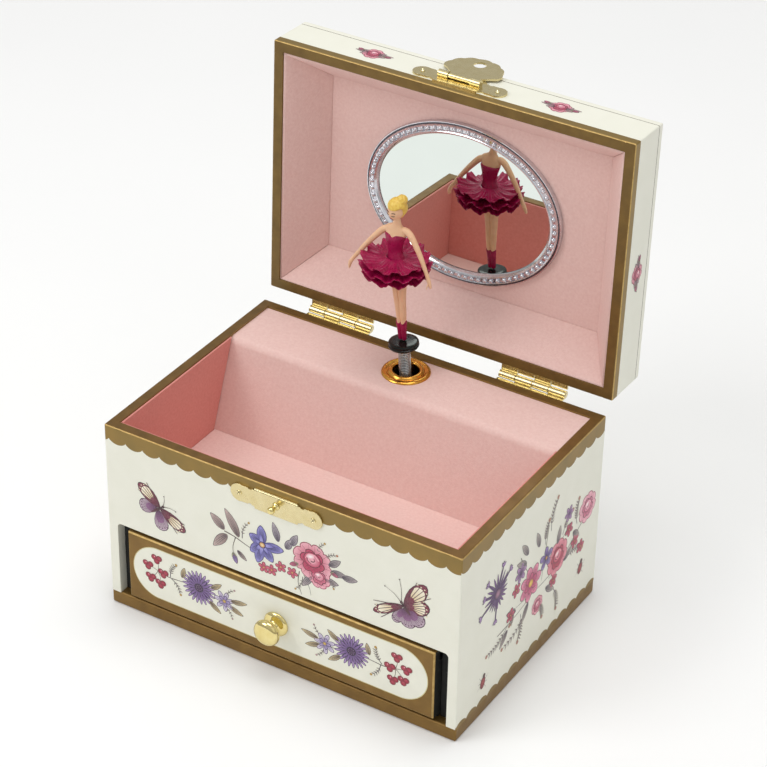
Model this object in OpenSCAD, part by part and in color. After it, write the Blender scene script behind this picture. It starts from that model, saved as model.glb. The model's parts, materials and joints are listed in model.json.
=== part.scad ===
// Ballerina jewellery box: a lidded box with a drawer, a mirror in the lid and a musical
// movement under a rear platform, whose spindle turns a figurine on a coil spring.
// Origin: middle of the footprint, on the surface the box stands on. Front faces -Y, +Z up.
// The lid is drawn closed and turned open about its hinge line by open_lid().

/* [Box] */
// Outside width of the box
box_w = 160; // [134:1:192]
// Outside depth of the box
box_d = 111; // [100:1:134]
// Height of the lower box, up to the rim
body_h = 86; // [76:1:104]
// Height of the lid
lid_h = 22.5; // [19:0.5:27]
// Thickness of the wall boards, which is also the width of the rim
wall_t = 4.3; // [3.6:0.1:5.2]
// Thickness of the base board
base_t = 6; // [5:0.5:7.5]
// Thickness of the lid's top board
lid_board_t = 3; // [2.5:0.5:4]
// How far the lid stands open
lid_open = 92; // [80:1:95]

/* [Compartment] */
// Thickness of the shelf board between the drawer and the compartment
shelf_t = 3; // [2:0.5:4]
// Thickness of the flocked floor on the shelf
floor_t = 4.5; // [3:0.5:6]
// Thickness of the flocked lining card
card_t = 1; // [0.8:0.1:1.5]
// Thickness of the platform's flocked board
platform_t = 1.6; // [1.2:0.1:2.2]
// How far the platform's top lies under the rim
platform_drop = 0.8; // [0.4:0.1:2]
// Depth of the platform's flat top, from its front edge to the back wall
platform_d = 27; // [24:0.5:32]
// How far the platform's front leans forward at the flocked floor
platform_lean = 14; // [8:0.5:18]
// Rounding of the platform's front edge
platform_r = 4; // [2:0.5:6]

/* [Drawer] */
// Height of the drawer bay
bay_h = 34.5; // [30:0.5:38]
// Rounding of the bay's upper corners
bay_r = 1.8; // [0:0.2:3]
// Width of each drawer guide
guide_w = 4.9; // [4:0.1:6]
// Thickness of the bay's back board
bay_board_t = 2; // [1.5:0.5:3]
// Height of the drawer front
drawer_front_h = 31.6; // [27:0.2:35]
// Thickness of the drawer front
drawer_front_t = 4; // [3:0.5:5]
// Thickness of the drawer's sides, back and bottom
drawer_side_t = 2.4; // [2:0.2:3]
// Height of the drawer's sides
drawer_side_h = 27; // [22:0.5:30]
// Running gap on each side of the drawer
drawer_gap = 0.5; // [0.3:0.1:0.8]
// Running gap under the drawer
drawer_lift = 0.25; // [0.2:0.05:0.5]
// How far the drawer front stands out of the box as it rests
drawer_proud = 0.9; // [0:0.1:2]
// Diameter of the knob
knob_d = 11.5; // [8:0.5:12]
// How far the knob stands out of the drawer front
knob_l = 9.5; // [6:0.5:10]

/* [Lid lining and mirror] */
// Gap between the lid's top board and the face of the lining
lid_pad_t = 2; // [1.5:0.5:3]
// How far the sloped lining leans in from the walls
lid_slope = 13; // [10:0.5:15]
// Width of the mirror's bezel across its outside
bezel_w = 89; // [80:1:100]
// Height of the mirror's bezel across its outside
bezel_h = 69; // [60:1:74]
// Width of the bezel's rim all round
bezel_rim = 5.5; // [4:0.5:7]
// How far the bezel stands out of the lining
bezel_t = 3; // [2.4:0.2:3.4]
// Thickness of the mirror glass
mirror_t = 1.2; // [1:0.1:1.6]

/* [Hinges] */
// Distance of each hinge from the middle of the box
hinge_x = 45; // [35:1:55]
// Length of each hinge
hinge_l = 30; // [24:1:36]
// Outside diameter of the knuckles
knuckle_d = 3.2; // [2.8:0.1:3.6]
// Distance of the hinge pin behind the back wall
hinge_back = 4.2; // [3.4:0.1:5]
// Height of each leaf on the wall
leaf_h = 10; // [8:0.5:12]
// Thickness of sheet brass in the hinges, hasp and catch
brass_t = 0.8; // [0.6:0.1:1]
// Diameter of the hinge pins
pin_d = 1.6; // [1.2:0.1:1.8]
// Running gap round a pin
pin_gap = 0.05; // [0.03:0.01:0.09]

/* [Hasp and catch] */
// Height of the hasp's roll above the rim
hasp_up = 8.2; // [7:0.1:10]
// Depth of the catch's stud below the rim
stud_down = 7.4; // [6.5:0.1:9]
// Length of the hasp plate and of the catch plate
plate_l = 41; // [40:0.5:44]
// Height of the two plates in their middle
plate_h = 9.4; // [8:0.2:10]
// Distance of each plate's nails from its middle
plate_nail_x = 16.6; // [15.6:0.2:18]
// Length of the hasp's roll
roll_l = 18.5; // [16:0.5:21]
// Diameter of the hasp plate's two rolled knuckles
roll_d = 3; // [2.8:0.1:3.4]
// Diameter of the leaf's rolled tube between them
leaf_roll_d = 2.2; // [2:0.1:2.6]
// Diameter of the hasp's pin
hasp_pin_d = 1.2; // [1:0.1:1.3]
// Width of the shell-shaped leaf
shell_w = 25.2; // [22:0.2:28]
// Distance from the hasp's pin to the shell's outer edge
shell_l = 21.2; // [20.4:0.2:24]
// Diameter of the hole for the stud
shell_hole_d = 5.2; // [4.8:0.1:6]
// Diameter of the stud's ball
ball_d = 3; // [2.6:0.1:3.4]

/* [Figurine] */
// Place of the spindle to the right of the middle
spindle_x = -2.3; // [-10:0.1:10]
// Distance from the spindle to the inside of the back wall
spindle_back = 10.4; // [9.8:0.1:12]
// Outside radius of the eyelet
eyelet_r = 10; // [9:0.1:10.2]
// Radius of the eyelet's hole
eyelet_hole_r = 5.3; // [4.5:0.1:6]
// Outside radius of the coil spring
spring_r = 2.5; // [2:0.1:3]
// Diameter of the spring's wire
spring_wire = 0.7; // [0.5:0.1:0.9]
// Free length of the spring between the spindle's collar and the disc
spring_l = 16.7; // [15:0.1:19]
// Lean of the figurine towards the left
figure_lean = 4.5; // [0:0.5:6]
// Radius of the disc under the figurine
disc_r = 6.25; // [5:0.25:6.5]
// Thickness of the disc
disc_t = 3; // [2:0.5:3.5]
// Height of the figurine above the disc
figure_h = 67; // [60:1:70]
// Radius of the skirt
skirt_r = 14.2; // [12:0.2:15]
// Distance of each hand from the figurine's axis
hand_x = 17.6; // [15:0.2:18.5]

/* [Movement] */
// Radius of the pin cylinder
cylinder_r = 6.5; // [6:0.1:7]
// Length of the pin cylinder
cylinder_l = 19; // [18:0.5:21]
// Number of teeth in the comb, and of tracks on the cylinder
comb_teeth = 18; // [12:1:20]
// Thickness of the bedplate
bed_t = 2.4; // [2:0.2:3]
// Teeth of the crown wheel on the spring barrel
crown_teeth = 36; // [30:1:40]
// Teeth of the cylinder's pinion
pinion_teeth = 10; // [8:1:12]
// Tooth module of the crown wheel and its pinion
crown_module = 0.6; // [0.5:0.05:0.7]
// Teeth of the cylinder's spur wheel
wheel_teeth = 36; // [32:1:38]
// Teeth of the governor's pinion
governor_pinion_teeth = 8; // [8:1:10]
// Teeth of the governor's worm wheel
worm_wheel_teeth = 20; // [16:1:22]
// Tooth module of the spur wheels and the worm wheel
train_module = 0.4; // [0.35:0.05:0.45]
// Radius of the governor's fan
fan_r = 5; // [4:0.1:5.2]
// Thickness of the spring barrel
barrel_t = 9; // [8:0.5:10]
// Diameter of the winding shaft
wind_d = 3; // [2.5:0.1:3.4]
// Width of the winding key's wings
key_w = 24; // [20:1:28]

/* [Hidden] */

$fn = 48;
hair = 0.05;            // gap between glued or nailed pieces that only touch
eps = 0.5;              // how far a cut runs past a face

// ---- Box, derived ----
half_w = box_w / 2;
half_d = box_d / 2;
in_w = half_w - wall_t;
in_d = half_d - wall_t;
bay_top = base_t + bay_h;
shelf_z = bay_top + 0.5;
pad_z = shelf_z + shelf_t;
floor_z = pad_z + floor_t;
platform_z = body_h - platform_drop;
edge_y = in_d - platform_d;
lean_per_mm = platform_lean / (platform_z - floor_z);

// Front face of the leaning platform front at a height
function slope_y(z) = edge_y - (platform_z - z) * lean_per_mm;

bay_back_y = slope_y(pad_z) + 1;

// ---- Hinges, derived ----
hinge_y = half_d + hinge_back;
hinge_z = body_h;
knuckle_gap = 0.15;
arm_clear = 0.4;          // from a leaf's short arms to the other leaf's knuckles
knuckle_l = hinge_l / 4;
nail_r = 0.55;
nail_head_r = 1.15;
nail_head_t = 0.5;
nail_l = 3.6;
nail_fit = 0.03;

// ---- Lid, derived ----
lid_z = body_h;
lid_top_z = body_h + lid_h;
lining_z = lid_top_z - lid_board_t - lid_pad_t;

// ---- Figurine and movement, derived ----
spindle_y = in_d - spindle_back;
spring_z = platform_z - 5.2;
eyelet_flange = 1;
eyelet_tube_r = 6.9;
collar_r = spring_r - spring_wire - 0.2;
cyl_z = platform_z - 35.2;
bed_y = in_d - bed_t;
crown_r = crown_module * crown_teeth / 2;
pinion_r = crown_module * pinion_teeth / 2;
pinion_l = 3.4;
pinion_z = cyl_z - 4.5;
barrel_z = pinion_z + pinion_l / 2 - crown_r;
crown_face = 2.2;
crown_y = spindle_y - pinion_r;
tooth_play = 0.16;
barrel_r = crown_r + 0.4;
barrel_back = crown_y - crown_module;
barrel_front = barrel_back - barrel_t;
wheel_r = train_module * wheel_teeth / 2;
gov_pinion_r = train_module * governor_pinion_teeth / 2;
worm_wheel_r = train_module * worm_wheel_teeth / 2;
wheel_t = 1.4;
wheel_z = cyl_z + cylinder_l + 0.8;
gov_x = spindle_x + wheel_r + gov_pinion_r;
worm_wheel_t = 1.8;
worm_z = wheel_z + wheel_t + 3.3;
worm_r = 1.3;
worm_clear = 0.35;
worm_x = gov_x + worm_wheel_r + train_module * 0.8 + worm_r + worm_clear;
worm_rear_y = bed_y + 1.2;
fan_y = spindle_y - worm_wheel_r - 3.4 - 2.5;
fan_l = 4;
ear_y = fan_y - 2.4;
arbor_r = 0.7;
running = 0.05;
bridge_y = barrel_front - 1.8;
bridge_t = 1.2;
pillar_x = barrel_r + 3.2;
pillar_r = 1.6;
mount_x = 22;
mount_z_low = barrel_z - 6;
mount_z_high = worm_z - 1;
screw_r = 1.1;
comb_tip_gap = 0.12;
pin_h = 0.45;
pin_root = 0.3;
pin_r = 0.2;
cream = "#ECECDF";
gold = "#957A45";
pink = "#E3B0A8";
black = "#1B1718";
brass = "#C9B27A";
steel = "#B5B5B8";
magenta = "#A81458";
skin = "#EBC09A";

// ================= Shared shapes =================

// Box between two corners
module span(low, high) {
    translate(low) cube(high - low);
}

// Cylinder along Y from y0 to y1
module rod_y(r, y0, y1, x, z) {
    translate([x, y1, z]) rotate([90, 0, 0]) cylinder(r = r, h = y1 - y0);
}

// Cylinder along X from x0 to x1
module rod_x(r, x0, x1, y, z) {
    translate([x0, y, z]) rotate([0, 90, 0]) cylinder(r = r, h = x1 - x0);
}

// Lid pieces, drawn closed, turned open about the hinge line
module open_lid() {
    translate([0, hinge_y, hinge_z]) rotate([-lid_open, 0, 0])
        translate([0, -hinge_y, -hinge_z]) children();
}

// Round-headed brass nail, pointing along +Y, its head's underside at y = 0
module nail() {
    rod_y(nail_r, 0, nail_l, 0, 0);
    rod_y(nail_head_r, -nail_head_t, 0, 0, 0);
}

// Hole for one nail, along +Y
module nail_hole() {
    rod_y(nail_r + nail_fit, -eps, nail_l + 0.2, 0, 0);
}

leaf_nail_x = hinge_l * 0.3;
leaf_nail_z = leaf_h * 0.62;

// Places of the nails in the back: two in each hinge's leaf, below the hinge line or above it
module at_leaf_nails(up) {
    for (side = [-1, 1], step = [-1, 1])
        translate([side * hinge_x + step * leaf_nail_x, half_d + brass_t, hinge_z + up * leaf_nail_z])
            rotate([0, 0, 180]) children();
}

// Places of a plate's two nails on the front, at a height
module at_plate_nails(z) {
    for (side = [-1, 1]) translate([side * plate_nail_x, -half_d - brass_t, z]) children();
}

// ================= Box =================

module base_board() {
    color(gold) span([-half_w, -half_d, 0], [half_w, half_d, base_t]);
}

module side_wall() {
    span([in_w, -half_d, base_t], [half_w, half_d, body_h]);
}

module wall_right() {
    color(cream) side_wall();
}

module wall_left() {
    color(cream) mirror([1, 0, 0]) side_wall();
}

// Places of the screws that hold the movement, seen from behind
module at_mounting_screws() {
    for (place = [[-mount_x, mount_z_low], [mount_x, mount_z_low], [-mount_x, mount_z_high]])
        translate([spindle_x + place[0], half_d, place[1]]) children();
}

module wall_back() {
    color(cream) difference() {
        span([-in_w, in_d, base_t], [in_w, half_d, body_h]);
        rod_y(wind_d / 2 + 1, in_d - eps, half_d + eps, spindle_x, barrel_z);
        at_mounting_screws() rod_y(screw_r + nail_fit, -wall_t - eps, eps, 0, 0);
        at_leaf_nails(-1) nail_hole();
    }
}

module front_panel() {
    color(cream) difference() {
        span([-in_w, -half_d, bay_top - bay_r], [in_w, -in_d, body_h]);
        translate([0, -in_d + eps, 0]) rotate([90, 0, 0]) linear_extrude(wall_t + 2 * eps) {
            translate([-in_w + bay_r, bay_top - bay_r - eps]) square([2 * (in_w - bay_r), bay_r + eps]);
            translate([-in_w + bay_r, bay_top - bay_r]) circle(bay_r);
            translate([in_w - bay_r, bay_top - bay_r]) circle(bay_r);
            translate([-in_w - eps, bay_top - bay_r - eps]) square([2 * (in_w + eps), eps]);
        }
        at_plate_nails(body_h - stud_down) nail_hole();
        rod_y(stud_tail_r + nail_fit, -half_d - eps, -half_d + 3, 0, body_h - stud_down);
    }
}

module bay_back_board() {
    color(black) span([-in_w, bay_back_y, base_t], [in_w, bay_back_y + bay_board_t, shelf_z]);
}

module drawer_guides() {
    color(black) for (side = [-1, 1]) {
        inner = in_w - guide_w;
        translate([side < 0 ? -in_w : inner, -in_d, base_t])
            cube([guide_w, in_d + bay_back_y - hair, bay_h - bay_r - 0.4]);
    }
}

module shelf_board() {
    color(cream) span([-in_w, -in_d, shelf_z], [in_w, bay_back_y + bay_board_t, pad_z]);
}

// Outline in Y and Z, extruded across the inside of the box less a margin on each side
module across(margin) {
    translate([-in_w + margin, 0, 0]) rotate([90, 0, 90]) linear_extrude(2 * (in_w - margin)) children();
}

module compartment_floor() {
    front = -in_d + card_t + 2 * hair;
    color(pink) across(card_t + hair) polygon([
        [front, pad_z + hair],
        [slope_y(pad_z + hair) - hair, pad_z + hair],
        [slope_y(floor_z) - hair, floor_z],
        [front, floor_z]]);
}

module lining_front() {
    color(pink) span([-in_w, -in_d, pad_z], [in_w, -in_d + card_t, body_h - 0.4]);
}

// Side card between the front lining and the leaning platform front
module side_card() {
    front = -in_d + card_t + hair;
    top = body_h - 0.4;
    translate([in_w - card_t, 0, 0]) rotate([90, 0, 90]) linear_extrude(card_t) polygon([
        [front, pad_z],
        [slope_y(pad_z) - hair, pad_z],
        [slope_y(top) - hair - platform_r * 0.1, top],
        [front, top]]);
}

module lining_right() {
    color("#DB9C92") side_card();
}

module lining_left() {
    color("#C97468") mirror([1, 0, 0]) side_card();
}

// Outline of the platform: leaning front, rounded edge and flat top, set in by an amount,
// and standing on a foot height
module platform_outline(inset, foot) {
    lean = atan(lean_per_mm);
    r = platform_r - inset;
    centre_z = platform_z - platform_r;
    centre_y = slope_y(centre_z) + platform_r / cos(lean);
    polygon(concat(
        [[centre_y - r * cos(lean) - (centre_z + r * sin(lean) - foot) * lean_per_mm, foot]],
        [for (step = [0 : 8]) let (turn = lean + (90 - lean) * step / 8)
            [centre_y - r * cos(turn), centre_z + r * sin(turn)]],
        [[in_d + inset, platform_z - inset], [in_d + inset, foot]]));
}

module platform_cover() {
    color("#E8C8C0") difference() {
        across(0) difference() {
            platform_outline(0, pad_z);
            platform_outline(platform_t, pad_z - eps);
        }
        translate([spindle_x, spindle_y, platform_z - 2 * platform_t - platform_r])
            cylinder(r = eyelet_tube_r + hair, h = 3 * platform_t + platform_r);
    }
}

// Domed flange on top, tube through the platform and clinched flange below
module eyelet() {
    color("#D09A4A") translate([spindle_x, spindle_y, platform_z]) {
        rotate_extrude() {
            polygon(concat(
                [[eyelet_hole_r, -platform_t - 1.4], [eyelet_tube_r, -platform_t - 1.4],
                 [eyelet_tube_r, hair], [eyelet_r, hair]],
                [for (step = [1 : 7]) let (turn = step * 22.5)
                    [eyelet_tube_r + 0.7 + (eyelet_r - eyelet_tube_r - 0.7) * cos(turn),
                     hair + eyelet_flange * sin(turn)]],
                [[eyelet_hole_r, 0.2]]));
        }
    }
}

// ================= Catch on the front =================

// Plate in X and Z: a wide middle, a notch on each side of it and round ends
module plate_outline() {
    end_r = plate_l / 2 - plate_nail_x;
    wide = plate_l / 4;
    shoulder = 1.5;
    notch_r = 1.1;
    difference() {
        union() {
            square([2 * plate_nail_x, 2 * end_r - 0.4], center = true);
            for (side = [-1, 1]) translate([side * plate_nail_x, 0]) circle(r = end_r);
            polygon([
                [-wide - shoulder, 0], [-wide + shoulder / 2, plate_h / 2],
                [wide - shoulder / 2, plate_h / 2], [wide + shoulder, 0],
                [wide - shoulder / 2, -plate_h / 2], [-wide + shoulder / 2, -plate_h / 2]]);
        }
        for (side = [-1, 1], up = [-1, 1])
            translate([side * (wide + shoulder), up * (end_r + 0.35)]) circle(r = notch_r);
    }
}

module shaped_plate(z) {
    difference() {
        translate([0, -half_d, z]) rotate([90, 0, 0]) linear_extrude(brass_t) plate_outline();
        for (side = [-1, 1])
            rod_y(nail_r + nail_fit, -half_d - brass_t - eps, -half_d + eps, side * plate_nail_x, z);
    }
}

module catch_plate() {
    color(brass) difference() {
        shaped_plate(body_h - stud_down);
        rod_y(stud_tail_r + nail_fit, -half_d - brass_t - eps, -half_d + eps, 0, body_h - stud_down);
    }
}

stud_out = 4.6;
stud_tail_r = 0.8;

// Turned stud: tail in the wall, flange on the plate, neck and ball
module catch_stud() {
    z = body_h - stud_down;
    flange_t = 0.7;
    color("#8A7A4A") {
        rod_y(stud_tail_r, -half_d - brass_t - 1, -half_d + 2.6, 0, z);
        rod_y(1.7, -half_d - brass_t - flange_t, -half_d - brass_t, 0, z);
        rod_y(0.9, -half_d - stud_out, -half_d - brass_t - 0.5, 0, z);
        translate([0, -half_d - stud_out, z]) sphere(d = ball_d);
    }
}

// ================= Hinges =================

// Knuckles of one leaf: first is 0 or 1, counted along the hinge from its left end
module knuckles(first) {
    for (k = [first : 2 : 3])
        rod_x(knuckle_d / 2, -hinge_l / 2 + k * knuckle_l + knuckle_gap,
              -hinge_l / 2 + (k + 1) * knuckle_l - knuckle_gap, hinge_y, hinge_z);
}

// Flat arm at one knuckle's place, from the wall back to a given depth
module arm(k, back_y) {
    span([-hinge_l / 2 + k * knuckle_l + knuckle_gap, half_d, hinge_z - knuckle_d / 2],
         [-hinge_l / 2 + (k + 1) * knuckle_l - knuckle_gap, back_y, hinge_z - knuckle_d / 2 + brass_t]);
}

// Leaf that lies on the outside below the hinge line. Its long arms reach back to its knuckles, and
// its short ones stop clear of the other leaf's
module leaf(first) {
    top = hinge_z - knuckle_d / 2 + brass_t;
    difference() {
        union() {
            knuckles(first);
            span([-hinge_l / 2 + knuckle_gap, half_d, hinge_z - leaf_h],
                 [hinge_l / 2 - knuckle_gap, half_d + brass_t, top]);
            for (k = [first : 2 : 3]) arm(k, hinge_y);
            for (k = [1 - first : 2 : 3]) arm(k, hinge_y - knuckle_d / 2 - arm_clear);
        }
        rod_x(pin_d / 2 + pin_gap, -hinge_l, hinge_l, hinge_y, hinge_z);
        for (step = [-1, 1])
            rod_y(nail_r + nail_fit, half_d - eps, half_d + brass_t + eps,
                  step * leaf_nail_x, hinge_z - leaf_nail_z);
    }
}

module hinge_body_leaves() {
    color(brass) for (side = [-1, 1]) translate([side * hinge_x, 0, 0]) leaf(1);
}

module hinge_lid_leaves() {
    color(brass) open_lid() for (side = [-1, 1]) translate([side * hinge_x, 0, 0])
        translate([0, 0, 2 * hinge_z]) mirror([0, 0, 1]) leaf(0);
}

module hinge_pins() {
    color(brass) for (side = [-1, 1])
        rod_x(pin_d / 2, side * hinge_x - hinge_l / 2, side * hinge_x + hinge_l / 2, hinge_y, hinge_z);
}

module brass_nails() {
    color(brass) {
        at_leaf_nails(-1) nail();
        at_plate_nails(body_h - stud_down) nail();
    }
}

module lid_nails() {
    color(brass) open_lid() {
        at_leaf_nails(1) nail();
        at_plate_nails(lid_z + hasp_up) nail();
    }
}

// ================= Drawer =================

drawer_w = 2 * (in_w - guide_w - drawer_gap);
drawer_y = -half_d - drawer_proud;
drawer_back_y = bay_back_y - 2;
drawer_z = base_t + drawer_lift;
front_z = base_t + (bay_h - drawer_front_h) / 2;
body_front_y = drawer_y + drawer_front_t;

module drawer_front() {
    color(gold) difference() {
        span([-drawer_w / 2, drawer_y, front_z], [drawer_w / 2, body_front_y, front_z + drawer_front_h]);
        rod_y(1.2 + nail_fit, drawer_y - eps, body_front_y + eps, 0, knob_z());
    }
}

function knob_z() = front_z + drawer_front_h / 2;

module drawer_side() {
    span([drawer_w / 2 - drawer_side_t, body_front_y, drawer_z],
         [drawer_w / 2, drawer_back_y, drawer_z + drawer_side_h]);
}

module drawer_right() {
    color(black) drawer_side();
}

module drawer_left() {
    color(black) mirror([1, 0, 0]) drawer_side();
}

module drawer_back() {
    inner = drawer_w / 2 - drawer_side_t;
    color(black) span([-inner, drawer_back_y - drawer_side_t, drawer_z],
                      [inner, drawer_back_y, drawer_z + drawer_side_h]);
}

bottom_up = 0.6;

module drawer_bottom() {
    inner = drawer_w / 2 - drawer_side_t;
    color(black) span([-inner, body_front_y, drawer_z + bottom_up],
                      [inner, drawer_back_y - drawer_side_t - hair, drawer_z + bottom_up + drawer_side_t]);
}

module drawer_lining() {
    inner = drawer_w / 2 - drawer_side_t - hair;
    z = drawer_z + bottom_up + drawer_side_t;
    color(pink) span([-inner, body_front_y + hair, z],
                     [inner, drawer_back_y - drawer_side_t - hair, z + card_t]);
}

// Turned brass knob: flange, neck and domed face
module drawer_knob() {
    r = knob_d / 2;
    color("#C9A96A") translate([0, drawer_y, knob_z()]) rotate([90, 0, 0]) difference() {
        rotate_extrude() polygon([
            [0, 0], [r, 0], [r, 0.6], [r * 0.86, 1.1], [r * 0.44, 1.5], [r * 0.4, 3.2],
            [r * 0.55, knob_l * 0.52], [r * 0.98, knob_l * 0.66], [r, knob_l * 0.76],
            [r * 0.92, knob_l * 0.87], [r * 0.6, knob_l * 0.97], [0, knob_l]]);
        translate([0, 0, -eps]) cylinder(r = 0.9 + nail_fit, h = knob_l * 0.6 + eps);
    }
}

module knob_screw() {
    color(steel) {
        rod_y(0.9, drawer_y - knob_l * 0.5, body_front_y + 0.5, 0, knob_z());
        rod_y(2.4, body_front_y, body_front_y + 1.4, 0, knob_z());
    }
}

// ================= Lid =================

module lid_top() {
    color(cream) open_lid()
        span([-half_w, -half_d, lid_top_z - lid_board_t], [half_w, half_d, lid_top_z]);
}

module lid_side() {
    span([in_w, -half_d, lid_z], [half_w, half_d, lid_top_z - lid_board_t]);
}

module lid_wall_right() {
    color(cream) open_lid() lid_side();
}

module lid_wall_left() {
    color(cream) open_lid() mirror([1, 0, 0]) lid_side();
}

module lid_wall_front() {
    color(cream) open_lid() difference() {
        span([-in_w, -half_d, lid_z], [in_w, -in_d, lid_top_z - lid_board_t]);
        at_plate_nails(lid_z + hasp_up) nail_hole();
    }
}

module lid_wall_back() {
    color(cream) open_lid() difference() {
        span([-in_w, in_d, lid_z], [in_w, half_d, lid_top_z - lid_board_t]);
        at_leaf_nails(1) nail_hole();
    }
}

module lid_lining_panel() {
    color(pink) open_lid()
        span([-in_w + hair, -in_d + hair, lining_z], [in_w - hair, in_d - hair, lid_top_z - lid_board_t]);
}

lid_rim_in = 0.5;
// Four sloped lining strips with mitred ends, each its own solid
module lid_lining_slopes() {
    low = lid_z + lid_rim_in;
    high = lining_z - hair;
    color("#DDA8A0") open_lid() {
        for (side = [0, 180]) rotate([0, 0, side])
            slope_strip(2 * in_w, in_d, low, high);
        for (side = [90, 270]) rotate([0, 0, side])
            slope_strip(2 * in_d, in_w, low, high);
    }
}

// One strip along X at y = reach, cut back at 45 degrees at both ends
module slope_strip(length, reach, low, high) {
    intersection() {
        translate([-length / 2, 0, 0]) rotate([90, 0, 90]) linear_extrude(length) polygon([
            [reach, low], [reach, high], [reach - lid_slope, high], [reach - card_t, low]]);
        translate([0, 0, low - 1]) linear_extrude(high - low + 2) polygon([
            [-length / 2 + hair, reach], [length / 2 - hair, reach],
            [length / 2 - lid_slope - 2 - hair, reach - lid_slope - 2],
            [-length / 2 + lid_slope + 2 + hair, reach - lid_slope - 2]]);
    }
}

// Ellipse as a polygon by formula
module oval(w, h) {
    polygon([for (step = [0 : 71]) [w / 2 * cos(step * 5), h / 2 * sin(step * 5)]]);
}

module mirror_glass() {
    color("#C8CCD0") open_lid() translate([0, 0, lining_z - hair - mirror_t]) linear_extrude(mirror_t)
        oval(bezel_w - 2 * bezel_rim + 1.4, bezel_h - 2 * bezel_rim + 1.4);
}

module mirror_bezel() {
    color("#B8B8BC") open_lid() translate([0, 0, lining_z - hair - bezel_t]) difference() {
        linear_extrude(bezel_t) oval(bezel_w, bezel_h);
        translate([0, 0, -eps]) linear_extrude(bezel_t + 2 * eps)
            oval(bezel_w - 2 * bezel_rim, bezel_h - 2 * bezel_rim);
        translate([0, 0, bezel_t - mirror_t - hair]) linear_extrude(mirror_t + eps)
            oval(bezel_w - 2 * bezel_rim + 1.5, bezel_h - 2 * bezel_rim + 1.5);
    }
}

// ================= Hasp =================

hasp_z = lid_z + hasp_up;
hasp_y = -half_d - brass_t - roll_d / 2 + 0.3;
stud_drop = hasp_up + stud_down;
knuckle_end_l = roll_l * 0.24;

module hasp_plate() {
    color(brass) open_lid() difference() {
        union() {
            shaped_plate(hasp_z);
            for (side = [-1, 1])
                rod_x(roll_d / 2, side < 0 ? -roll_l / 2 : roll_l / 2 - knuckle_end_l,
                      side < 0 ? -roll_l / 2 + knuckle_end_l : roll_l / 2, hasp_y, hasp_z);
        }
        rod_x(hasp_pin_d / 2 + pin_gap, -roll_l, roll_l, hasp_y, hasp_z);
        // relief behind the leaf's own tube
        rod_x(leaf_roll_d / 2 + 0.25, -roll_l / 2 + knuckle_end_l - 0.01,
              roll_l / 2 - knuckle_end_l + 0.01, hasp_y, hasp_z);
    }
}

module hasp_pin() {
    color(brass) open_lid() rod_x(hasp_pin_d / 2, -roll_l / 2, roll_l / 2, hasp_y, hasp_z);
}

// Fan-shaped shell with a scalloped edge: the roll is at the origin and the shell opens towards +Y
module shell_outline() {
    centre = stud_drop - 6;
    half = shell_w / 2;
    rise = shell_l - centre;
    neck = roll_l / 2 - knuckle_end_l - 0.4;
    scallops = 7;
    scallop_depth = 0.6;
    steps = scallops * 8;
    flank = [[neck, 0], [neck + 0.9, 2.6], [half * 0.76, centre * 0.7]];
    polygon(concat(
        flank,
        [for (step = [0 : steps])
            let (turn = -8 + 196 * step / steps,
                 wave = scallop_depth * (abs(sin(180 * scallops * step / steps)) - 1))
            [(half + wave) * cos(turn), centre + (rise + wave) * sin(turn)]],
        [for (k = [2 : -1 : 0]) [-flank[k][0], flank[k][1]]]));
}

// Rest position: folded back, flat over the lid's front and past its top
module hasp_leaf() {
    tube_half = roll_l / 2 - knuckle_end_l - 0.2;
    leaf_y = -half_d - brass_t - 0.1;
    color(brass) open_lid() difference() {
        union() {
            rod_x(leaf_roll_d / 2, -tube_half, tube_half, hasp_y, hasp_z);
            translate([0, leaf_y, hasp_z]) rotate([90, 0, 0]) linear_extrude(brass_t) shell_outline();
        }
        rod_x(hasp_pin_d / 2 + pin_gap, -roll_l, roll_l, hasp_y, hasp_z);
        rod_y(shell_hole_d / 2, leaf_y - brass_t - eps, leaf_y + eps, 0, hasp_z + stud_drop);
    }
}

// ================= Movement =================

// Spur wheel outline with straight-flanked teeth
module spur_outline(teeth, size, play) {
    r = size * teeth / 2;
    root = r - 1.15 * size;
    tip = r + 0.8 * size;
    half = (PI * size / 2 - play) / 2;
    circle(r = root);
    for (k = [0 : teeth - 1]) rotate(k * 360 / teeth) polygon([
        [root - 0.2, half + 1.0 * size * 0.36], [r, half], [tip, half - 0.8 * size * 0.42],
        [tip, -half + 0.8 * size * 0.42], [r, -half], [root - 0.2, -half - 1.0 * size * 0.36]]);
}

// Bearing block that stands on the bedplate, with a bore along Z
module bearing_block(x, z0, z1, half_wide) {
    difference() {
        span([x - half_wide, spindle_y - half_wide, z0], [x + half_wide, bed_y + hair, z1]);
        translate([x, spindle_y, z0 - eps]) cylinder(r = arbor_r + running, h = z1 - z0 + 2 * eps);
    }
}

bed_half_w = 26;
bed_low = barrel_z - 12;
bed_high = worm_z + 4.4;
comb_x = spindle_x - cylinder_r - pin_h - comb_tip_gap;
comb_l = 20;
comb_heel = 6;

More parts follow.
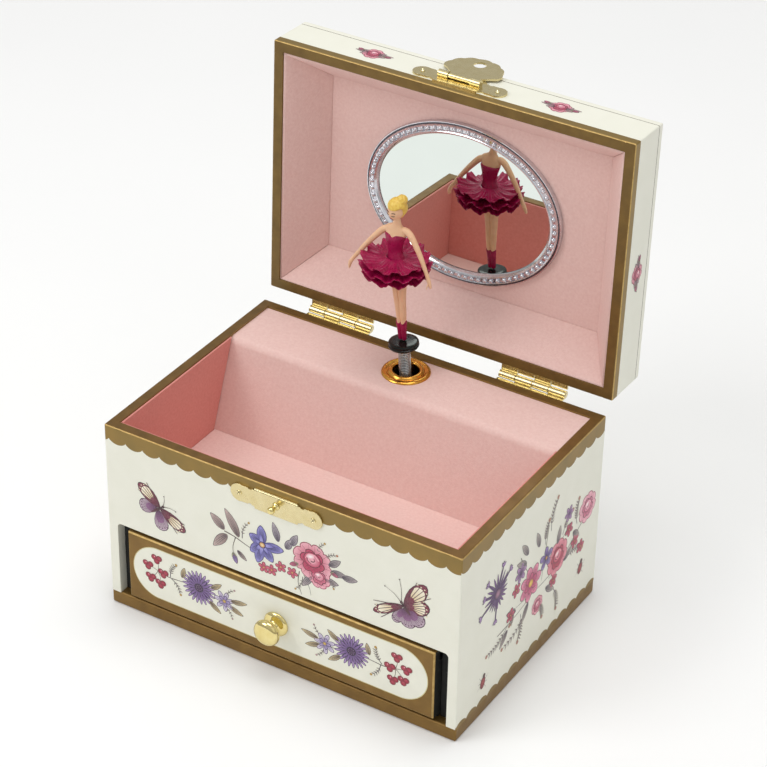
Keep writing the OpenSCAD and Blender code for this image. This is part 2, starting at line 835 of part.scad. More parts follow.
module movement_bedplate() {
    pad_low = cyl_z - 0.5;
    pad_high = cyl_z + cylinder_l + 0.5;
    color("#A9A9A4") difference() {
        union() {
            span([spindle_x - bed_half_w, bed_y, bed_low], [spindle_x + bed_half_w, in_d - hair, bed_high]);
            bearing_block(spindle_x, pinion_z - 4, pinion_z - 0.8, 2.1);
            bearing_block(spindle_x, wheel_z + wheel_t + 0.8, wheel_z + wheel_t + 3.2, 2.1);
            bearing_block(gov_x, wheel_z - 3.4, wheel_z - 1.2, 1.35);
            bearing_block(gov_x, worm_z + worm_wheel_t / 2 + 0.5, worm_z + worm_wheel_t / 2 + 2, 1.35);
            span([comb_x - comb_l, spindle_y + 0.5 + hair, pad_low],
                 [comb_x - comb_l + comb_heel, bed_y + hair, pad_high]);
            for (side = [-1, 1])
                rod_y(pillar_r, bridge_y + bridge_t, bed_y + hair, spindle_x + side * pillar_x, barrel_z);
        }
        rod_y(wind_d / 2 + running, bed_y - eps, in_d + eps, spindle_x, barrel_z);
        rod_y(0.5 + running, bed_y - eps, bed_y + 1.4, worm_x, worm_z);
        at_mounting_screws() rod_y(screw_r + nail_fit, -wall_t - bed_t - eps, -wall_t + eps, 0, 0);
        for (k = [-1, 1])
            rod_y(0.9 + nail_fit, spindle_y, spindle_y + 5, comb_x - comb_l + comb_heel / 2,
                  cyl_z + cylinder_l / 2 + k * cylinder_l * 0.3);
        for (side = [-1, 1])
            rod_y(0.7 + nail_fit, bridge_y, bridge_y + 5, spindle_x + side * pillar_x, barrel_z);
    }
}

module movement_comb() {
    pitch = (cylinder_l - 1.5) / comb_teeth;
    low = cyl_z + 0.75;
    color("#C4C4C6") difference() {
        span([comb_x - comb_l, spindle_y - 0.5, low], [comb_x, spindle_y + 0.5, low + cylinder_l - 1.5]);
        for (k = [1 : comb_teeth - 1])
            span([comb_x - comb_l + comb_heel + 1 + k * 0.2, spindle_y - 1, low + k * pitch - 0.12],
                 [comb_x + eps, spindle_y + 1, low + k * pitch + 0.12]);
        for (k = [-1, 1])
            rod_y(0.9 + nail_fit, spindle_y - 2, spindle_y + 2, comb_x - comb_l + comb_heel / 2,
                  cyl_z + cylinder_l / 2 + k * cylinder_l * 0.3);
    }
}

module comb_screws() {
    color(brass) for (k = [-1, 1]) {
        x = comb_x - comb_l + comb_heel / 2;
        z = cyl_z + cylinder_l / 2 + k * cylinder_l * 0.3;
        rod_y(0.9, spindle_y - 0.6, spindle_y + 4.5, x, z);
        rod_y(1.9, spindle_y - 1.7, spindle_y - 0.5, x, z);
    }
}

// Bar across the front of the spring barrel that carries the winding shaft's end
module barrel_bridge() {
    color("#A9A9A4") {
        difference() {
            union() {
                span([spindle_x - pillar_x, bridge_y, barrel_z - 3],
                     [spindle_x + pillar_x, bridge_y + bridge_t, barrel_z + 3]);
                for (side = [-1, 1])
                    rod_y(3, bridge_y, bridge_y + bridge_t, spindle_x + side * pillar_x, barrel_z);
            }
            rod_y(1 + running, bridge_y - eps, bridge_y + bridge_t + eps, spindle_x, barrel_z);
            for (side = [-1, 1])
                rod_y(0.7 + nail_fit, bridge_y - eps, bridge_y + bridge_t + eps,
                      spindle_x + side * pillar_x, barrel_z);
        }
        for (side = [-1, 1]) {
            rod_y(0.7, bridge_y - 0.1, bridge_y + 4, spindle_x + side * pillar_x, barrel_z);
            rod_y(1.4, bridge_y - 0.9, bridge_y, spindle_x + side * pillar_x, barrel_z);
        }
    }
}

module mounting_screws() {
    color(steel) at_mounting_screws() {
        rod_y(screw_r, -wall_t - bed_t + 0.4, 0, 0, 0);
        rod_y(2.4, 0, 1.2, 0, 0);
    }
}

// Pin places follow a simple repeating tune: each track is struck a few times a turn
function pin_turn(track, beat) = (track * 67 + beat * 360 / 4 + (track * beat * 23) % 41) % 360;

module pin_cylinder() {
    pitch = (cylinder_l - 1.5) / comb_teeth;
    color("#C9B27A") difference() {
        union() {
            translate([spindle_x, spindle_y, cyl_z]) {
                cylinder(r = cylinder_r, h = cylinder_l);
                for (track = [0 : comb_teeth - 1], beat = [0 : 3])
                    translate([0, 0, 0.75 + (track + 0.5) * pitch]) rotate([0, 0, pin_turn(track, beat)])
                        translate([cylinder_r - pin_root, 0, 0]) rotate([0, 90, 0])
                            cylinder(r = pin_r, h = pin_root + pin_h, $fn = 16);
            }
            translate([spindle_x, spindle_y, wheel_z - 0.8]) cylinder(r = wheel_r * 0.6, h = 0.85);
            translate([spindle_x, spindle_y, wheel_z]) linear_extrude(wheel_t)
                spur_outline(wheel_teeth, train_module, tooth_play * 0.7);
            translate([spindle_x, spindle_y, pinion_z]) linear_extrude(pinion_l)
                spur_outline(pinion_teeth, crown_module, tooth_play * 3);
            translate([spindle_x, spindle_y, pinion_z + pinion_l - 0.05])
                cylinder(r = pinion_r * 0.7, h = cyl_z - pinion_z - pinion_l + 0.1);
        }
        translate([spindle_x, spindle_y, pinion_z - eps])
            cylinder(r = arbor_r, h = wheel_z + wheel_t - pinion_z + 2 * eps);
    }
}

// Shaft of the cylinder, run on upwards to carry the figurine's spring on a collar
module cylinder_spindle() {
    color(steel) translate([spindle_x, spindle_y, 0]) {
        translate([0, 0, pinion_z - 4.4]) cylinder(r = arbor_r, h = spring_z + 3 - (pinion_z - 4.4));
        translate([0, 0, wheel_z + wheel_t + 3.6])
            cylinder(r = collar_r, h = spring_z + 1.5 - (wheel_z + wheel_t + 3.6));
    }
}

// Barrel of the mainspring with the crown wheel's teeth on its back
module spring_barrel() {
    half = (PI * crown_module / 2 - tooth_play * 3) / 2;
    depth = 1.9 * crown_module;
    color("#B08D4A") difference() {
        union() {
            rod_y(barrel_r, barrel_front, barrel_back, spindle_x, barrel_z);
            difference() {
                rod_y(crown_r + crown_face / 2, barrel_back - 1.6, barrel_back, spindle_x, barrel_z);
                rod_y(crown_r - crown_face / 2, barrel_back - 2, barrel_back + eps, spindle_x, barrel_z);
            }
            translate([spindle_x, barrel_back, barrel_z]) for (k = [0 : crown_teeth - 1])
                rotate([0, k * 360 / crown_teeth, 0]) translate([0, 0, crown_r - crown_face / 2])
                    linear_extrude(crown_face) polygon([
                        [-half - 0.2, -0.1], [-half - 0.18, 0], [-half + 0.2, depth - 0.25 * crown_module],
                        [half - 0.2, depth - 0.25 * crown_module], [half + 0.18, 0], [half + 0.2, -0.1]]);
        }
        rod_y(barrel_r - 1.2, barrel_front + 1, barrel_back - 1, spindle_x, barrel_z);
        rod_y(wind_d / 2 + running, barrel_front - eps, barrel_back + eps, spindle_x, barrel_z);
    }
}

// Spiral strip that lies inside the barrel, as a band of constant thickness
module mainspring() {
    turns = 5.5;
    inner = wind_d / 2 + 0.6;
    outer = barrel_r - 1.7;
    strip = 0.45;
    steps = turns * 24;
    function radius(step) = inner + (outer - inner) * step / steps;
    function along(step) = [cos(step * 15), sin(step * 15)];
    color("#6E7378") translate([spindle_x, barrel_back - 1.4, barrel_z]) rotate([90, 0, 0])
        linear_extrude(barrel_t - 2.8) polygon(concat(
            [for (step = [0 : steps]) (radius(step) + strip / 2) * along(step)],
            [for (step = [steps : -1 : 0]) (radius(step) - strip / 2) * along(step)]));
}

// Arbor with the pinion that the cylinder drives and the worm wheel
module governor_wheel() {
    low = wheel_z - 3.6;
    high = worm_z + worm_wheel_t / 2 + 2.2;
    color(brass) translate([gov_x, spindle_y, 0]) {
        translate([0, 0, low]) cylinder(r = arbor_r, h = high - low);
        translate([0, 0, wheel_z - 0.3]) rotate(180 + 180 / governor_pinion_teeth)
            linear_extrude(wheel_t + 0.6)
                spur_outline(governor_pinion_teeth, train_module, tooth_play * 1.3);
        translate([0, 0, worm_z - worm_wheel_t / 2]) linear_extrude(worm_wheel_t)
            spur_outline(worm_wheel_teeth, train_module, tooth_play);
    }
}

// Worm shaft with the two-bladed fan that holds the speed down
module governor_fan() {
    worm_len = 6;
    pitch = PI * train_module * 2;
    worm_throw = 0.32;
    color(steel) translate([worm_x, 0, worm_z]) {
        rod_y(0.5, ear_y - 0.2, worm_rear_y, 0, 0);
        rod_y(0.9, fan_y + fan_l, bed_y - 0.5, 0, 0);
        translate([0, spindle_y + worm_len / 2, 0]) rotate([90, 0, 0])
            linear_extrude(worm_len, twist = 360 * worm_len / pitch, slices = 40, $fn = 12)
                translate([worm_throw, 0]) circle(r = worm_r - worm_throw, $fn = 12);
        for (side = [-1, 1]) span([side < 0 ? -fan_r : 0.3, fan_y, -0.3],
                                  [side < 0 ? -0.3 : fan_r, fan_y + fan_l, 0.3]);
        rod_y(1.1, fan_y, fan_y + fan_l, 0, 0);
    }
}

// Arm beside the fan that carries the worm shaft's front pivot
module governor_bracket() {
    arm_x = worm_x + fan_r + 0.8;
    color("#A9A9A4") difference() {
        union() {
            span([arm_x, ear_y, worm_z - 2], [arm_x + 1.2, bed_y - hair, worm_z + 2]);
            span([worm_x - 1.6, ear_y, worm_z - 2], [arm_x + 0.1, ear_y + 1.2, worm_z + 2]);
            span([arm_x - 3, bed_y - 1.2 - hair, worm_z - 2], [arm_x + 0.1, bed_y - hair, worm_z + 2]);
        }
        rod_y(0.5 + running, ear_y - eps, ear_y + 1.2 + eps, worm_x, worm_z);
    }
}

key_out = 6;
module winding_shaft() {
    color(steel) {
        rod_y(wind_d / 2, barrel_front - 0.6, half_d + key_out + 3, spindle_x, barrel_z);
        rod_y(1, bridge_y - 0.6, barrel_front, spindle_x, barrel_z);
    }
}

// Two-winged key on a hub behind the box
module winding_key() {
    hub_r = 3;
    hub_l = 7;
    y0 = half_d + 2.2;
    color("#C9A96A") difference() {
        union() {
            rod_y(hub_r, y0, y0 + hub_l, spindle_x, barrel_z);
            for (side = [-1, 1])
                translate([spindle_x + side * key_w * 0.28, y0 + hub_l + 4, barrel_z]) rotate([0, 90, 90])
                    translate([0, 0, -4]) rotate([90, 0, 90]) translate([0, 0, -0.9]) linear_extrude(1.8)
                        key_wing(key_w * 0.24);
            span([spindle_x - key_w * 0.1, y0 + hub_l - 1, barrel_z - 0.9],
                 [spindle_x + key_w * 0.1, y0 + hub_l + 4, barrel_z + 0.9]);
        }
        rod_y(wind_d / 2 + 0.01, y0 - eps, half_d + key_out + 3, spindle_x, barrel_z);
    }
}

// One round wing with a finger hole
module key_wing(r) {
    difference() {
        circle(r = r);
        circle(r = r * 0.34);
    }
}

// ================= Figurine =================

// Frame that stands on the spindle's collar and leans to the left
module on_spring() {
    translate([spindle_x, spindle_y, spring_z]) rotate([0, -figure_lean, 0]) children();
}

// Closed coil as a stack of round turns on a thin inner sleeve
module figure_spring() {
    turns = floor((spring_l - spring_wire) / (spring_wire * 1.05));
    color(steel) on_spring() difference() {
        union() {
            cylinder(r = spring_r - spring_wire * 0.5, h = spring_l);
            for (k = [0 : turns]) translate([0, 0, spring_wire * 0.5 + k * spring_wire * 1.05])
                rotate_extrude() translate([spring_r - spring_wire / 2, 0]) circle(d = spring_wire, $fn = 16);
        }
        translate([0, 0, -eps]) cylinder(r = spring_r - spring_wire, h = spring_l + 2 * eps);
    }
}

// Disc with a plug that grips the spring's upper end
module figure_disc() {
    color("#1F2A24") on_spring() translate([0, 0, spring_l]) {
        translate([0, 0, -3]) cylinder(r = spring_r - spring_wire - 0.05, h = 3.2);
        translate([0, 0, hair]) rotate_extrude() polygon([
            [0, 0], [disc_r - 0.8, 0], [disc_r - 0.2, 0.3], [disc_r, 0.9], [disc_r, disc_t - 0.9],
            [disc_r - 0.2, disc_t - 0.3], [disc_r - 0.8, disc_t], [0, disc_t]]);
    }
}

figure_z = spring_l + disc_t + 2 * hair;

// A round limb between two points, with a radius at each end
module limb(from, to, r0, r1) {
    along = to - from;
    length = norm(along);
    translate(from) rotate([0, acos(along[2] / length), atan2(along[1], along[0])]) {
        cylinder(r1 = r0, r2 = r1, h = length, $fn = 24);
        sphere(r = r0, $fn = 24);
        translate([0, 0, length]) sphere(r = r1, $fn = 24);
    }
}

// Standing dancer: feet at height 0, facing -Y, every height a share of figure_h
module figure_body() {
    h = figure_h;
    hip = 0.53 * h;
    color(skin) on_spring() translate([0, 0, figure_z]) {
        for (side = [-1, 1]) {
            limb([side * 1, 0, 1.2], [side * 1.6, 0, hip], 1.2, 2.1);
            limb([side * 4.4, 0, 0.745 * h], [side * 10.6, -0.6, 0.64 * h], 1.3, 1.1);
            limb([side * 10.6, -0.6, 0.64 * h], [side * hand_x, -1, 0.455 * h], 1.1, 0.8);
        }
        translate([0, 0, 0]) cylinder(r = 2.5, h = 1.6, $fn = 24);
        limb([0, 0, hip], [0, 0, 0.6 * h], 3.4, 2.9);
        limb([0, 0, 0.6 * h], [0, 0, 0.73 * h], 2.9, 4.2);
        limb([0, 0, 0.74 * h], [0, 0, 0.82 * h], 1.9, 1.5);
        translate([0, -0.3, 0.88 * h]) sphere(r = 4.6, $fn = 32);
        translate([0, 2.4, 0.955 * h]) sphere(r = 2.9, $fn = 24);
    }
}

// Flared skirt round the hips
module figure_skirt() {
    h = figure_h;
    color(magenta) on_spring() translate([0, 0, figure_z]) rotate_extrude() polygon([
        [3.9, 0.62 * h], [6.5, 0.6 * h], [skirt_r - 2, 0.545 * h], [skirt_r, 0.49 * h],
        [skirt_r - 1, 0.46 * h], [skirt_r - 4, 0.475 * h], [8, 0.5 * h], [4.3, 0.53 * h]]);
}

base_board();
wall_left();
wall_right();
wall_back();
front_panel();
bay_back_board();
drawer_guides();
shelf_board();
compartment_floor();
lining_front();
lining_left();
lining_right();
platform_cover();
eyelet();
catch_plate();
catch_stud();
hinge_body_leaves();
hinge_pins();
brass_nails();
drawer_front();
drawer_left();
drawer_right();
drawer_back();
drawer_bottom();
drawer_lining();
drawer_knob();
knob_screw();
lid_top();
lid_wall_front();
lid_wall_back();
lid_wall_left();
lid_wall_right();
lid_lining_panel();
lid_lining_slopes();
mirror_glass();
mirror_bezel();
hinge_lid_leaves();
lid_nails();
hasp_plate();
hasp_pin();
hasp_leaf();
movement_bedplate();
movement_comb();
comb_screws();
barrel_bridge();
mounting_screws();
pin_cylinder();
cylinder_spindle();
spring_barrel();
mainspring();
governor_wheel();
governor_fan();
governor_bracket();
winding_shaft();
winding_key();
figure_spring();
figure_disc();
figure_body();
figure_skirt();
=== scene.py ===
"""Ballerina jewellery box: paper-wrapped boards, flocked lining, brass fittings and the dancer.

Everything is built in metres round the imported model, whose own parts stay as they are. Sizes in the
classes below are in millimetres, as a box maker would note them.
"""

import json
import logging
import math
from collections.abc import Callable, Iterable, Sequence
from dataclasses import dataclass, field, replace
from enum import Enum
from functools import cache

import bmesh
import bpy
from bmesh.types import BMEdge, BMesh, BMVert
from mathutils import Matrix, Quaternion, Vector


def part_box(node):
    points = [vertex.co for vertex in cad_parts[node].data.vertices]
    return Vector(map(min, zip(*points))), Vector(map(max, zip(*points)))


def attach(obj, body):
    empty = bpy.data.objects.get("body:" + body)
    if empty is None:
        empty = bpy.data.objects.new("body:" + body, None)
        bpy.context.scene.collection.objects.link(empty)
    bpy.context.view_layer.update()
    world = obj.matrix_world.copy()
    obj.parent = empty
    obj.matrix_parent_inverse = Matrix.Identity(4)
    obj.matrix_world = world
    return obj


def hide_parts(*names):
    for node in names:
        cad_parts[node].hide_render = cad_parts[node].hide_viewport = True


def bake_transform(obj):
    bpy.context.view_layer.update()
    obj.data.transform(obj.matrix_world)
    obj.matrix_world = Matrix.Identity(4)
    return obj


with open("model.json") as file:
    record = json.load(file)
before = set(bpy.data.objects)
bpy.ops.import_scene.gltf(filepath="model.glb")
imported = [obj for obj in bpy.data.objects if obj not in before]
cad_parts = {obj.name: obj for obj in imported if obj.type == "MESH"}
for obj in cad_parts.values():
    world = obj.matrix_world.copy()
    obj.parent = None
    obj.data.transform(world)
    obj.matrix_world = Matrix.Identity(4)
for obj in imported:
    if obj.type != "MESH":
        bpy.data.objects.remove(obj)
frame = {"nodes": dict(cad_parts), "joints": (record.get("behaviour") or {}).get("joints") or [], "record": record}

LOG = logging.getLogger("jewellery_box")
MM = 0.001
SMOOTH_DEG = 35.0
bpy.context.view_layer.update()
Point = tuple[float, float]
Colour = tuple[float, float, float, float]
Tree = bpy.types.NodeTree
Socket = bpy.types.NodeSocket
ShaderNode = bpy.types.Node


def turned(degrees: float, axis: str) -> Matrix:
    """Turn about one axis, in degrees."""
    return Matrix.Rotation(math.radians(degrees), 4, axis)


def closed_to_open() -> Matrix:
    """Turn that carries the closed lid to where it stands at rest, about its hinge pins."""
    joint = next(j for j in frame["joints"] if j["name"] == "lid_hinge")
    hinge = Vector(joint["pos_m"])
    return Matrix.Translation(hinge) @ turned(-joint["range_deg"][1], "X") @ Matrix.Translation(-hinge)


def beside(at: Point, turn: float, along: float, across: float = 0.0) -> Point:
    """Point some way along and across a direction in degrees, starting from another point."""
    c, s = math.cos(math.radians(turn)), math.sin(math.radians(turn))
    return at[0] + along * c - across * s, at[1] + along * s + across * c


def heading(start: Point, end: Point) -> float:
    """Direction from one point to another, in degrees."""
    return math.degrees(math.atan2(end[1] - start[1], end[0] - start[0]))


def box_middle(node: str) -> Vector:
    """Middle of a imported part's box."""
    low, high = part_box(node)
    return (low + high) / 2


def placed(name: str, data: bpy.types.ID) -> bpy.types.Object:
    """A new object in the scene that holds the given data."""
    thing = bpy.data.objects.new(name, data)
    bpy.context.scene.collection.objects.link(thing)
    return thing


LID = closed_to_open()


def linear(code: str) -> Colour:
    """Turns an sRGB hex code to the linear colour that a shader takes."""
    def channel(value: float) -> float:
        """One channel, from sRGB to linear."""
        return value / 12.92 if value <= 0.04045 else ((value + 0.055) / 1.055) ** 2.4

    red, green, blue = (channel(int(code[k:k + 2], 16) / 255) for k in (1, 3, 5))
    return red, green, blue, 1.0


def blend_colour(first: Colour, second: Colour, share: float) -> Colour:
    """Colour between two others."""
    return tuple(a + (b - a) * share for a, b in zip(first, second))


def add(tree: Tree, kind: str, inputs: dict | None = None, **settings: object) -> ShaderNode:
    """Adds one node, with its settings, and its inputs as values or as links.

    Args:
        tree: Node tree of the material or world.
        kind: Blender's name for the node type.
        inputs: Input name or number to a value, or to another node's output.
        **settings: Properties of the node.

    Returns:
        The new node.
    """
    node = tree.nodes.new(kind)
    for name, value in settings.items():
        setattr(node, name, value)
    for key, value in (inputs or {}).items():
        if isinstance(value, Socket):
            tree.links.new(value, node.inputs[key])
        else:
            node.inputs[key].default_value = value
    return node


# ---------------------------------------------------------------- Finishes


@dataclass(frozen=True)
class Finish:
    """A real material: its colours, how it shines, and its mottling and grain at their real size."""

    name: str
    colour: str
    shade: str
    roughness: float
    mottle_mm: float
    grain_mm: float
    grain_depth_mm: float
    metallic: float = 0.0
    ior: float = 1.5
    spread: float = 0.06
    sockets: tuple[tuple[str, object], ...] = ()

    @cache
    def material(self) -> bpy.types.Material:
        """Builds the material once.

        Returns:
            The Blender material, ready for a material slot.
        """
        material = bpy.data.materials.new(self.name)
        material.use_nodes = True
        tree = material.node_tree
        tree.nodes.clear()
        shader = add(tree, "ShaderNodeBsdfPrincipled", {"Metallic": self.metallic})
        if not self.metallic:
            shader.inputs["IOR"].default_value = self.ior
        for socket, value in self.sockets:
            shader.inputs[socket].default_value = value
        add(tree, "ShaderNodeOutputMaterial", {"Surface": shader.outputs["BSDF"]})
        here = add(tree, "ShaderNodeTexCoord").outputs["Object"]
        self.dress(tree, shader, here)
        return material

    def noise(self, tree: Tree, here: Socket, size_mm: float,
              detail: float = 2.0) -> Socket:
        """Noise whose patches are about a given size."""
        return add(tree, "ShaderNodeTexNoise", {"Vector": here, "Scale": 1 / (size_mm * MM),
                                                "Detail": detail},
                   noise_dimensions="3D").outputs["Fac"]

    def dress(self, tree: Tree, shader: ShaderNode, here: Socket) -> None:
        """Links the mottled colour, the uneven shine and the grain to the shader."""
        colour = self.mottled(tree, here, self.colour, self.shade)
        tree.links.new(colour, shader.inputs["Base Color"])
        self.roughen(tree, shader, here)

    def mottled(self, tree: Tree, here: Socket, first: str,
                second: str) -> Socket:
        """Two colours in soft patches."""
        patches = add(tree, "ShaderNodeMapRange", {
            "Value": self.noise(tree, here, self.mottle_mm, 4.0), "From Min": 0.3, "From Max": 0.7})
        return self.mix(tree, patches.outputs["Result"], linear(first), linear(second))

    def mix(self, tree: Tree, share: Socket, first: object,
            second: object) -> Socket:
        """Mixes two colours, given as values or links, by a share."""
        return add(tree, "ShaderNodeMix", {0: share, 6: first, 7: second}, data_type="RGBA").outputs[2]

    def roughen(self, tree: Tree, shader: ShaderNode, here: Socket) -> None:
        """Links the uneven shine and the bump of the grain."""
        shine = add(tree, "ShaderNodeMapRange", {
            "Value": self.noise(tree, here, self.mottle_mm * 0.7, 3.0), "From Min": 0.3, "From Max": 0.7,
            "To Min": max(0.0, self.roughness - self.spread), "To Max": min(1.0,
                                                                            self.roughness + self.spread)})
        tree.links.new(shine.outputs["Result"], shader.inputs["Roughness"])
        self.grain(tree, shader, here)

    def grain(self, tree: Tree, shader: ShaderNode, here: Socket) -> None:
        """Links the bump of the grain, if the finish has any."""
        if self.grain_depth_mm:
            bump = add(tree, "ShaderNodeBump", {
                "Height": self.noise(tree, here, self.grain_mm, 3.0), "Strength": 1.0,
                "Distance": self.grain_depth_mm * MM})
            tree.links.new(bump.outputs["Normal"], shader.inputs["Normal"])


class WrapPart(Enum):
    """Which half of the box a printed wrap covers."""

    BODY = "body"
    LID = "lid"


@dataclass(frozen=True)
class WrapPaper(Finish):
    """Coated cream paper, offset printed with a scalloped gold border, wrapped and glued on board."""

    part: WrapPart = WrapPart.BODY
    gold: str = "#94783F"
    gold_shade: str = "#87703D"
    line: str = "#5B4A30"
    line_mm: float = 0.32
    pitch: float = 7.97
    phase: float = 1.7
    depth: float = 2.0
    roundness: float = 0.6
    border_z: float = 80.3
    foot_z: float = 6.2
    side_x: float = 79.7
    band_z: float = 89.9
    seam_z: float = 105.45
    gold_roughness: float = 0.42
    gold_metallic: float = 0.55

    def number(self, tree: Tree, operation: str, *values: object) -> Socket:
        """One sum on values or links."""
        return add(tree, "ShaderNodeMath", dict(enumerate(values)), operation=operation).outputs[0]

    def dress(self, tree: Tree, shader: ShaderNode, here: Socket) -> None:
        """Cream with the border where the print puts it, the gold of it shinier than the paper."""
        place = here
        if self.part is WrapPart.LID:
            back = LID.inverted()
            place = add(tree, "ShaderNodeMapping", {
                "Vector": here, "Location": back.to_translation(), "Rotation": back.to_euler()}).outputs[0]
        axes = add(tree, "ShaderNodeSeparateXYZ", {0: place}).outputs
        x, y, z = (self.number(tree, "MULTIPLY", axes[k], 1 / MM) for k in range(3))
        if self.part is WrapPart.BODY:
            gold = self.body_border(tree, x, y, z)
        else:
            gold = self.number(tree, "LESS_THAN", z, self.band_z)
        cream = self.mottled(tree, here, self.colour, self.shade)
        metal = self.mottled(tree, here, self.gold, self.gold_shade)
        colour = self.mix(tree, gold, cream, metal)
        if self.part is WrapPart.LID:
            offset = self.number(tree, "ABSOLUTE", self.number(tree, "SUBTRACT", z, self.seam_z))
            seam = self.number(tree, "LESS_THAN", offset, self.line_mm / 2)
            colour = self.mix(tree, seam, colour, linear(self.line))
        tree.links.new(colour, shader.inputs["Base Color"])
        self.grain(tree, shader, here)
        shine = add(tree, "ShaderNodeMapRange", {"Value": gold, "To Min": self.roughness,
                                                 "To Max": self.gold_roughness})
        tree.links.new(shine.outputs["Result"], shader.inputs["Roughness"])
        metallic = self.number(tree, "MULTIPLY", gold, self.gold_metallic)
        tree.links.new(metallic, shader.inputs["Metallic"])

    def body_border(self, tree: Tree, x: Socket, y: Socket,
                    z: Socket) -> Socket:
        """Mask of the border: scallops that hang from the rim, and stand on the foot at the sides."""
        on_side = self.number(tree, "GREATER_THAN", self.number(tree, "ABSOLUTE", x), self.side_x)
        along = add(tree, "ShaderNodeMix", {0: on_side, 2: self.number(tree, "SUBTRACT", x, self.phase),
                                            3: y},
                    data_type="FLOAT")
        wave = self.number(tree, "ABSOLUTE", self.number(
            tree, "SINE", self.number(tree, "MULTIPLY", along.outputs[0], math.pi / self.pitch)))
        lobe = self.number(tree, "MULTIPLY", self.number(tree, "POWER", wave, self.roundness), self.depth)
        top = self.number(tree, "GREATER_THAN", z, self.number(tree, "SUBTRACT", self.border_z, lobe))
        foot = self.number(tree, "LESS_THAN", z, self.number(tree, "ADD", lobe, self.foot_z))
        foot = self.number(tree, "MULTIPLY", foot, on_side)
        return self.number(tree, "MAXIMUM", top, foot)


@dataclass(frozen=True)
class PrintInk(Finish):
    """Offset ink on the paper: it takes its colour from the print itself, and lies a little glossier."""

    layer: str = "ink"

    def dress(self, tree: Tree, shader: ShaderNode, here: Socket) -> None:
        """Colour of the print, broken up slightly by the paper's tooth."""
        ink = add(tree, "ShaderNodeAttribute", attribute_name=self.layer).outputs["Color"]
        tooth = add(tree, "ShaderNodeMapRange", {
            "Value": self.noise(tree, here, self.mottle_mm, 3.0), "From Min": 0.4, "From Max": 0.8,
            "To Min": 0.0, "To Max": 0.1})
        colour = self.mix(tree, tooth.outputs["Result"], ink, linear(self.colour))
        tree.links.new(colour, shader.inputs["Base Color"])
        self.roughen(tree, shader, here)


# Coated paper: smooth and faintly glossy, with a soft tooth. The tooth is drawn coarser than real.
CREAM_BODY = WrapPaper("cream_wrap_paper_body", "#EEEDDF", "#EBEADB", 0.42, 9.0, 0.5, 0.012)
CREAM_LID = replace(CREAM_BODY, name="cream_wrap_paper_lid", part=WrapPart.LID)
CREAM_PANEL = Finish("cream_panel_paper", "#F0EFE0", "#EAE9DA", 0.42, 8.0, 0.5, 0.012)
PANEL_LINE = Finish("panel_line_ink", "#D8CF9E", "#CFC28A", 0.45, 3.0, 0.5, 0.01)
INK = PrintInk("offset_ink", "#EFEEE0", "#EFEEE0", 0.4, 0.45, 0.5, 0.008)
# Bronze-powder printed paper on board: satin, darker where it is rubbed, with a very fine grain.
GOLD_BOARD = Finish("bronze_printed_board", "#8A6A34", "#7B5D2D", 0.4, 7.0, 0.35, 0.015, metallic=0.55)
# The rims' flat faces take darker copies of this gold: painted shade.
GOLD_RIM_SHADED = Finish("bronze_rim_painted_shade", "#7E5E2C", "#6D5125", 0.42, 5.0, 0.35, 0.018, metallic=0.5)
GOLD_LID_RIM_SHADED = Finish("bronze_lid_rim_painted_shade", "#7C6230", "#6C5429", 0.42, 5.0, 0.35, 0.018, metallic=0.5)
# A lighter gold on the rounded outer edges of the rims and the drawer front: a painted highlight.
GOLD_PAINTED_HIGHLIGHT = Finish("bronze_painted_highlight_edge", "#CBAB6C", "#B08F52", 0.34, 2.0, 0.35, 0.01, metallic=0.6)
# Black uncoated board: dull, slightly green-grey, with paper fibres.
BLACK_BOARD = Finish("black_craft_board", "#151514", "#20211E", 0.75, 3.0, 0.4, 0.03)
# Nylon flock on card: short fibres that stand up, so it looks soft and has a pale sheen at grazing angles.
FLOCK = Finish("pink_nylon_flock", "#EAC9C1", "#E3BEB6", 0.95, 1.1, 0.32, 0.12, spread=0.03, sockets=(
    ("Sheen Weight", 0.25), ("Sheen Roughness", 0.45), ("Sheen Tint", linear("#FBE3DE"))))
# The walls' flock lies away from the light, so it is given a deeper red copy: painted shade.
FLOCK_SHADED = replace(FLOCK, name="pink_nylon_flock_painted_shade", colour="#E0968C", shade="#D88B82", sockets=(
    ("Sheen Weight", 0.15), ("Sheen Roughness", 0.45), ("Sheen Tint", linear("#F0C8C0"))))
# Stamped sheet brass, lacquered: bright and pale, with faint rolling marks.
BRASS = Finish("lacquered_sheet_brass", "#E0D2A4", "#D8C896", 0.24, 2.5, 0.3, 0.0015, metallic=1.0)
BRASS_ROLLED = Finish("rolled_brass_knuckle", "#EADFB4", "#DCCB98", 0.16, 2.0, 0.3, 0.002, metallic=1.0)
# Turned brass, polished: deep yellow and mirror-like, with fine tool marks.
KNOB_BRASS = Finish("polished_turned_brass", "#EBDC9E", "#E3D08C", 0.1, 3.0, 0.25, 0.002, metallic=1.0,
                    spread=0.03)
# Gilt pressed brass: orange-gold and glossy.
GILT = Finish("gilt_pressed_brass", "#E2A850", "#D6983E", 0.16, 2.0, 0.25, 0.003, metallic=1.0, spread=0.04)
DARK_BRASS = Finish("shadowed_nail_dimple", "#4A3C1E", "#382C14", 0.5, 0.6, 0.2, 0.01, metallic=0.8)
# Drawn and ground steel, lightly oiled.
STEEL = Finish("bright_drawn_steel", "#A9AAAC", "#8F9092", 0.26, 1.5, 0.25, 0.006, metallic=1.0)
SPRING_STEEL = Finish("coiled_spring_steel", "#D2D2D2", "#BEBEBE", 0.28, 1.0, 0.25, 0.006, metallic=1.0)
# Zinc die casting: grey, satin, slightly pebbled.
CASTING = Finish("zinc_die_casting", "#9FA09C", "#8A8B88", 0.45, 2.0, 0.5, 0.03, metallic=0.9)
# Silvered glass: a clean flat reflection.
MIRROR = Finish("silvered_glass", "#E2E9E4", "#E0E7E2", 0.012, 20.0, 5.0, 0.0, metallic=1.0, spread=0.004)
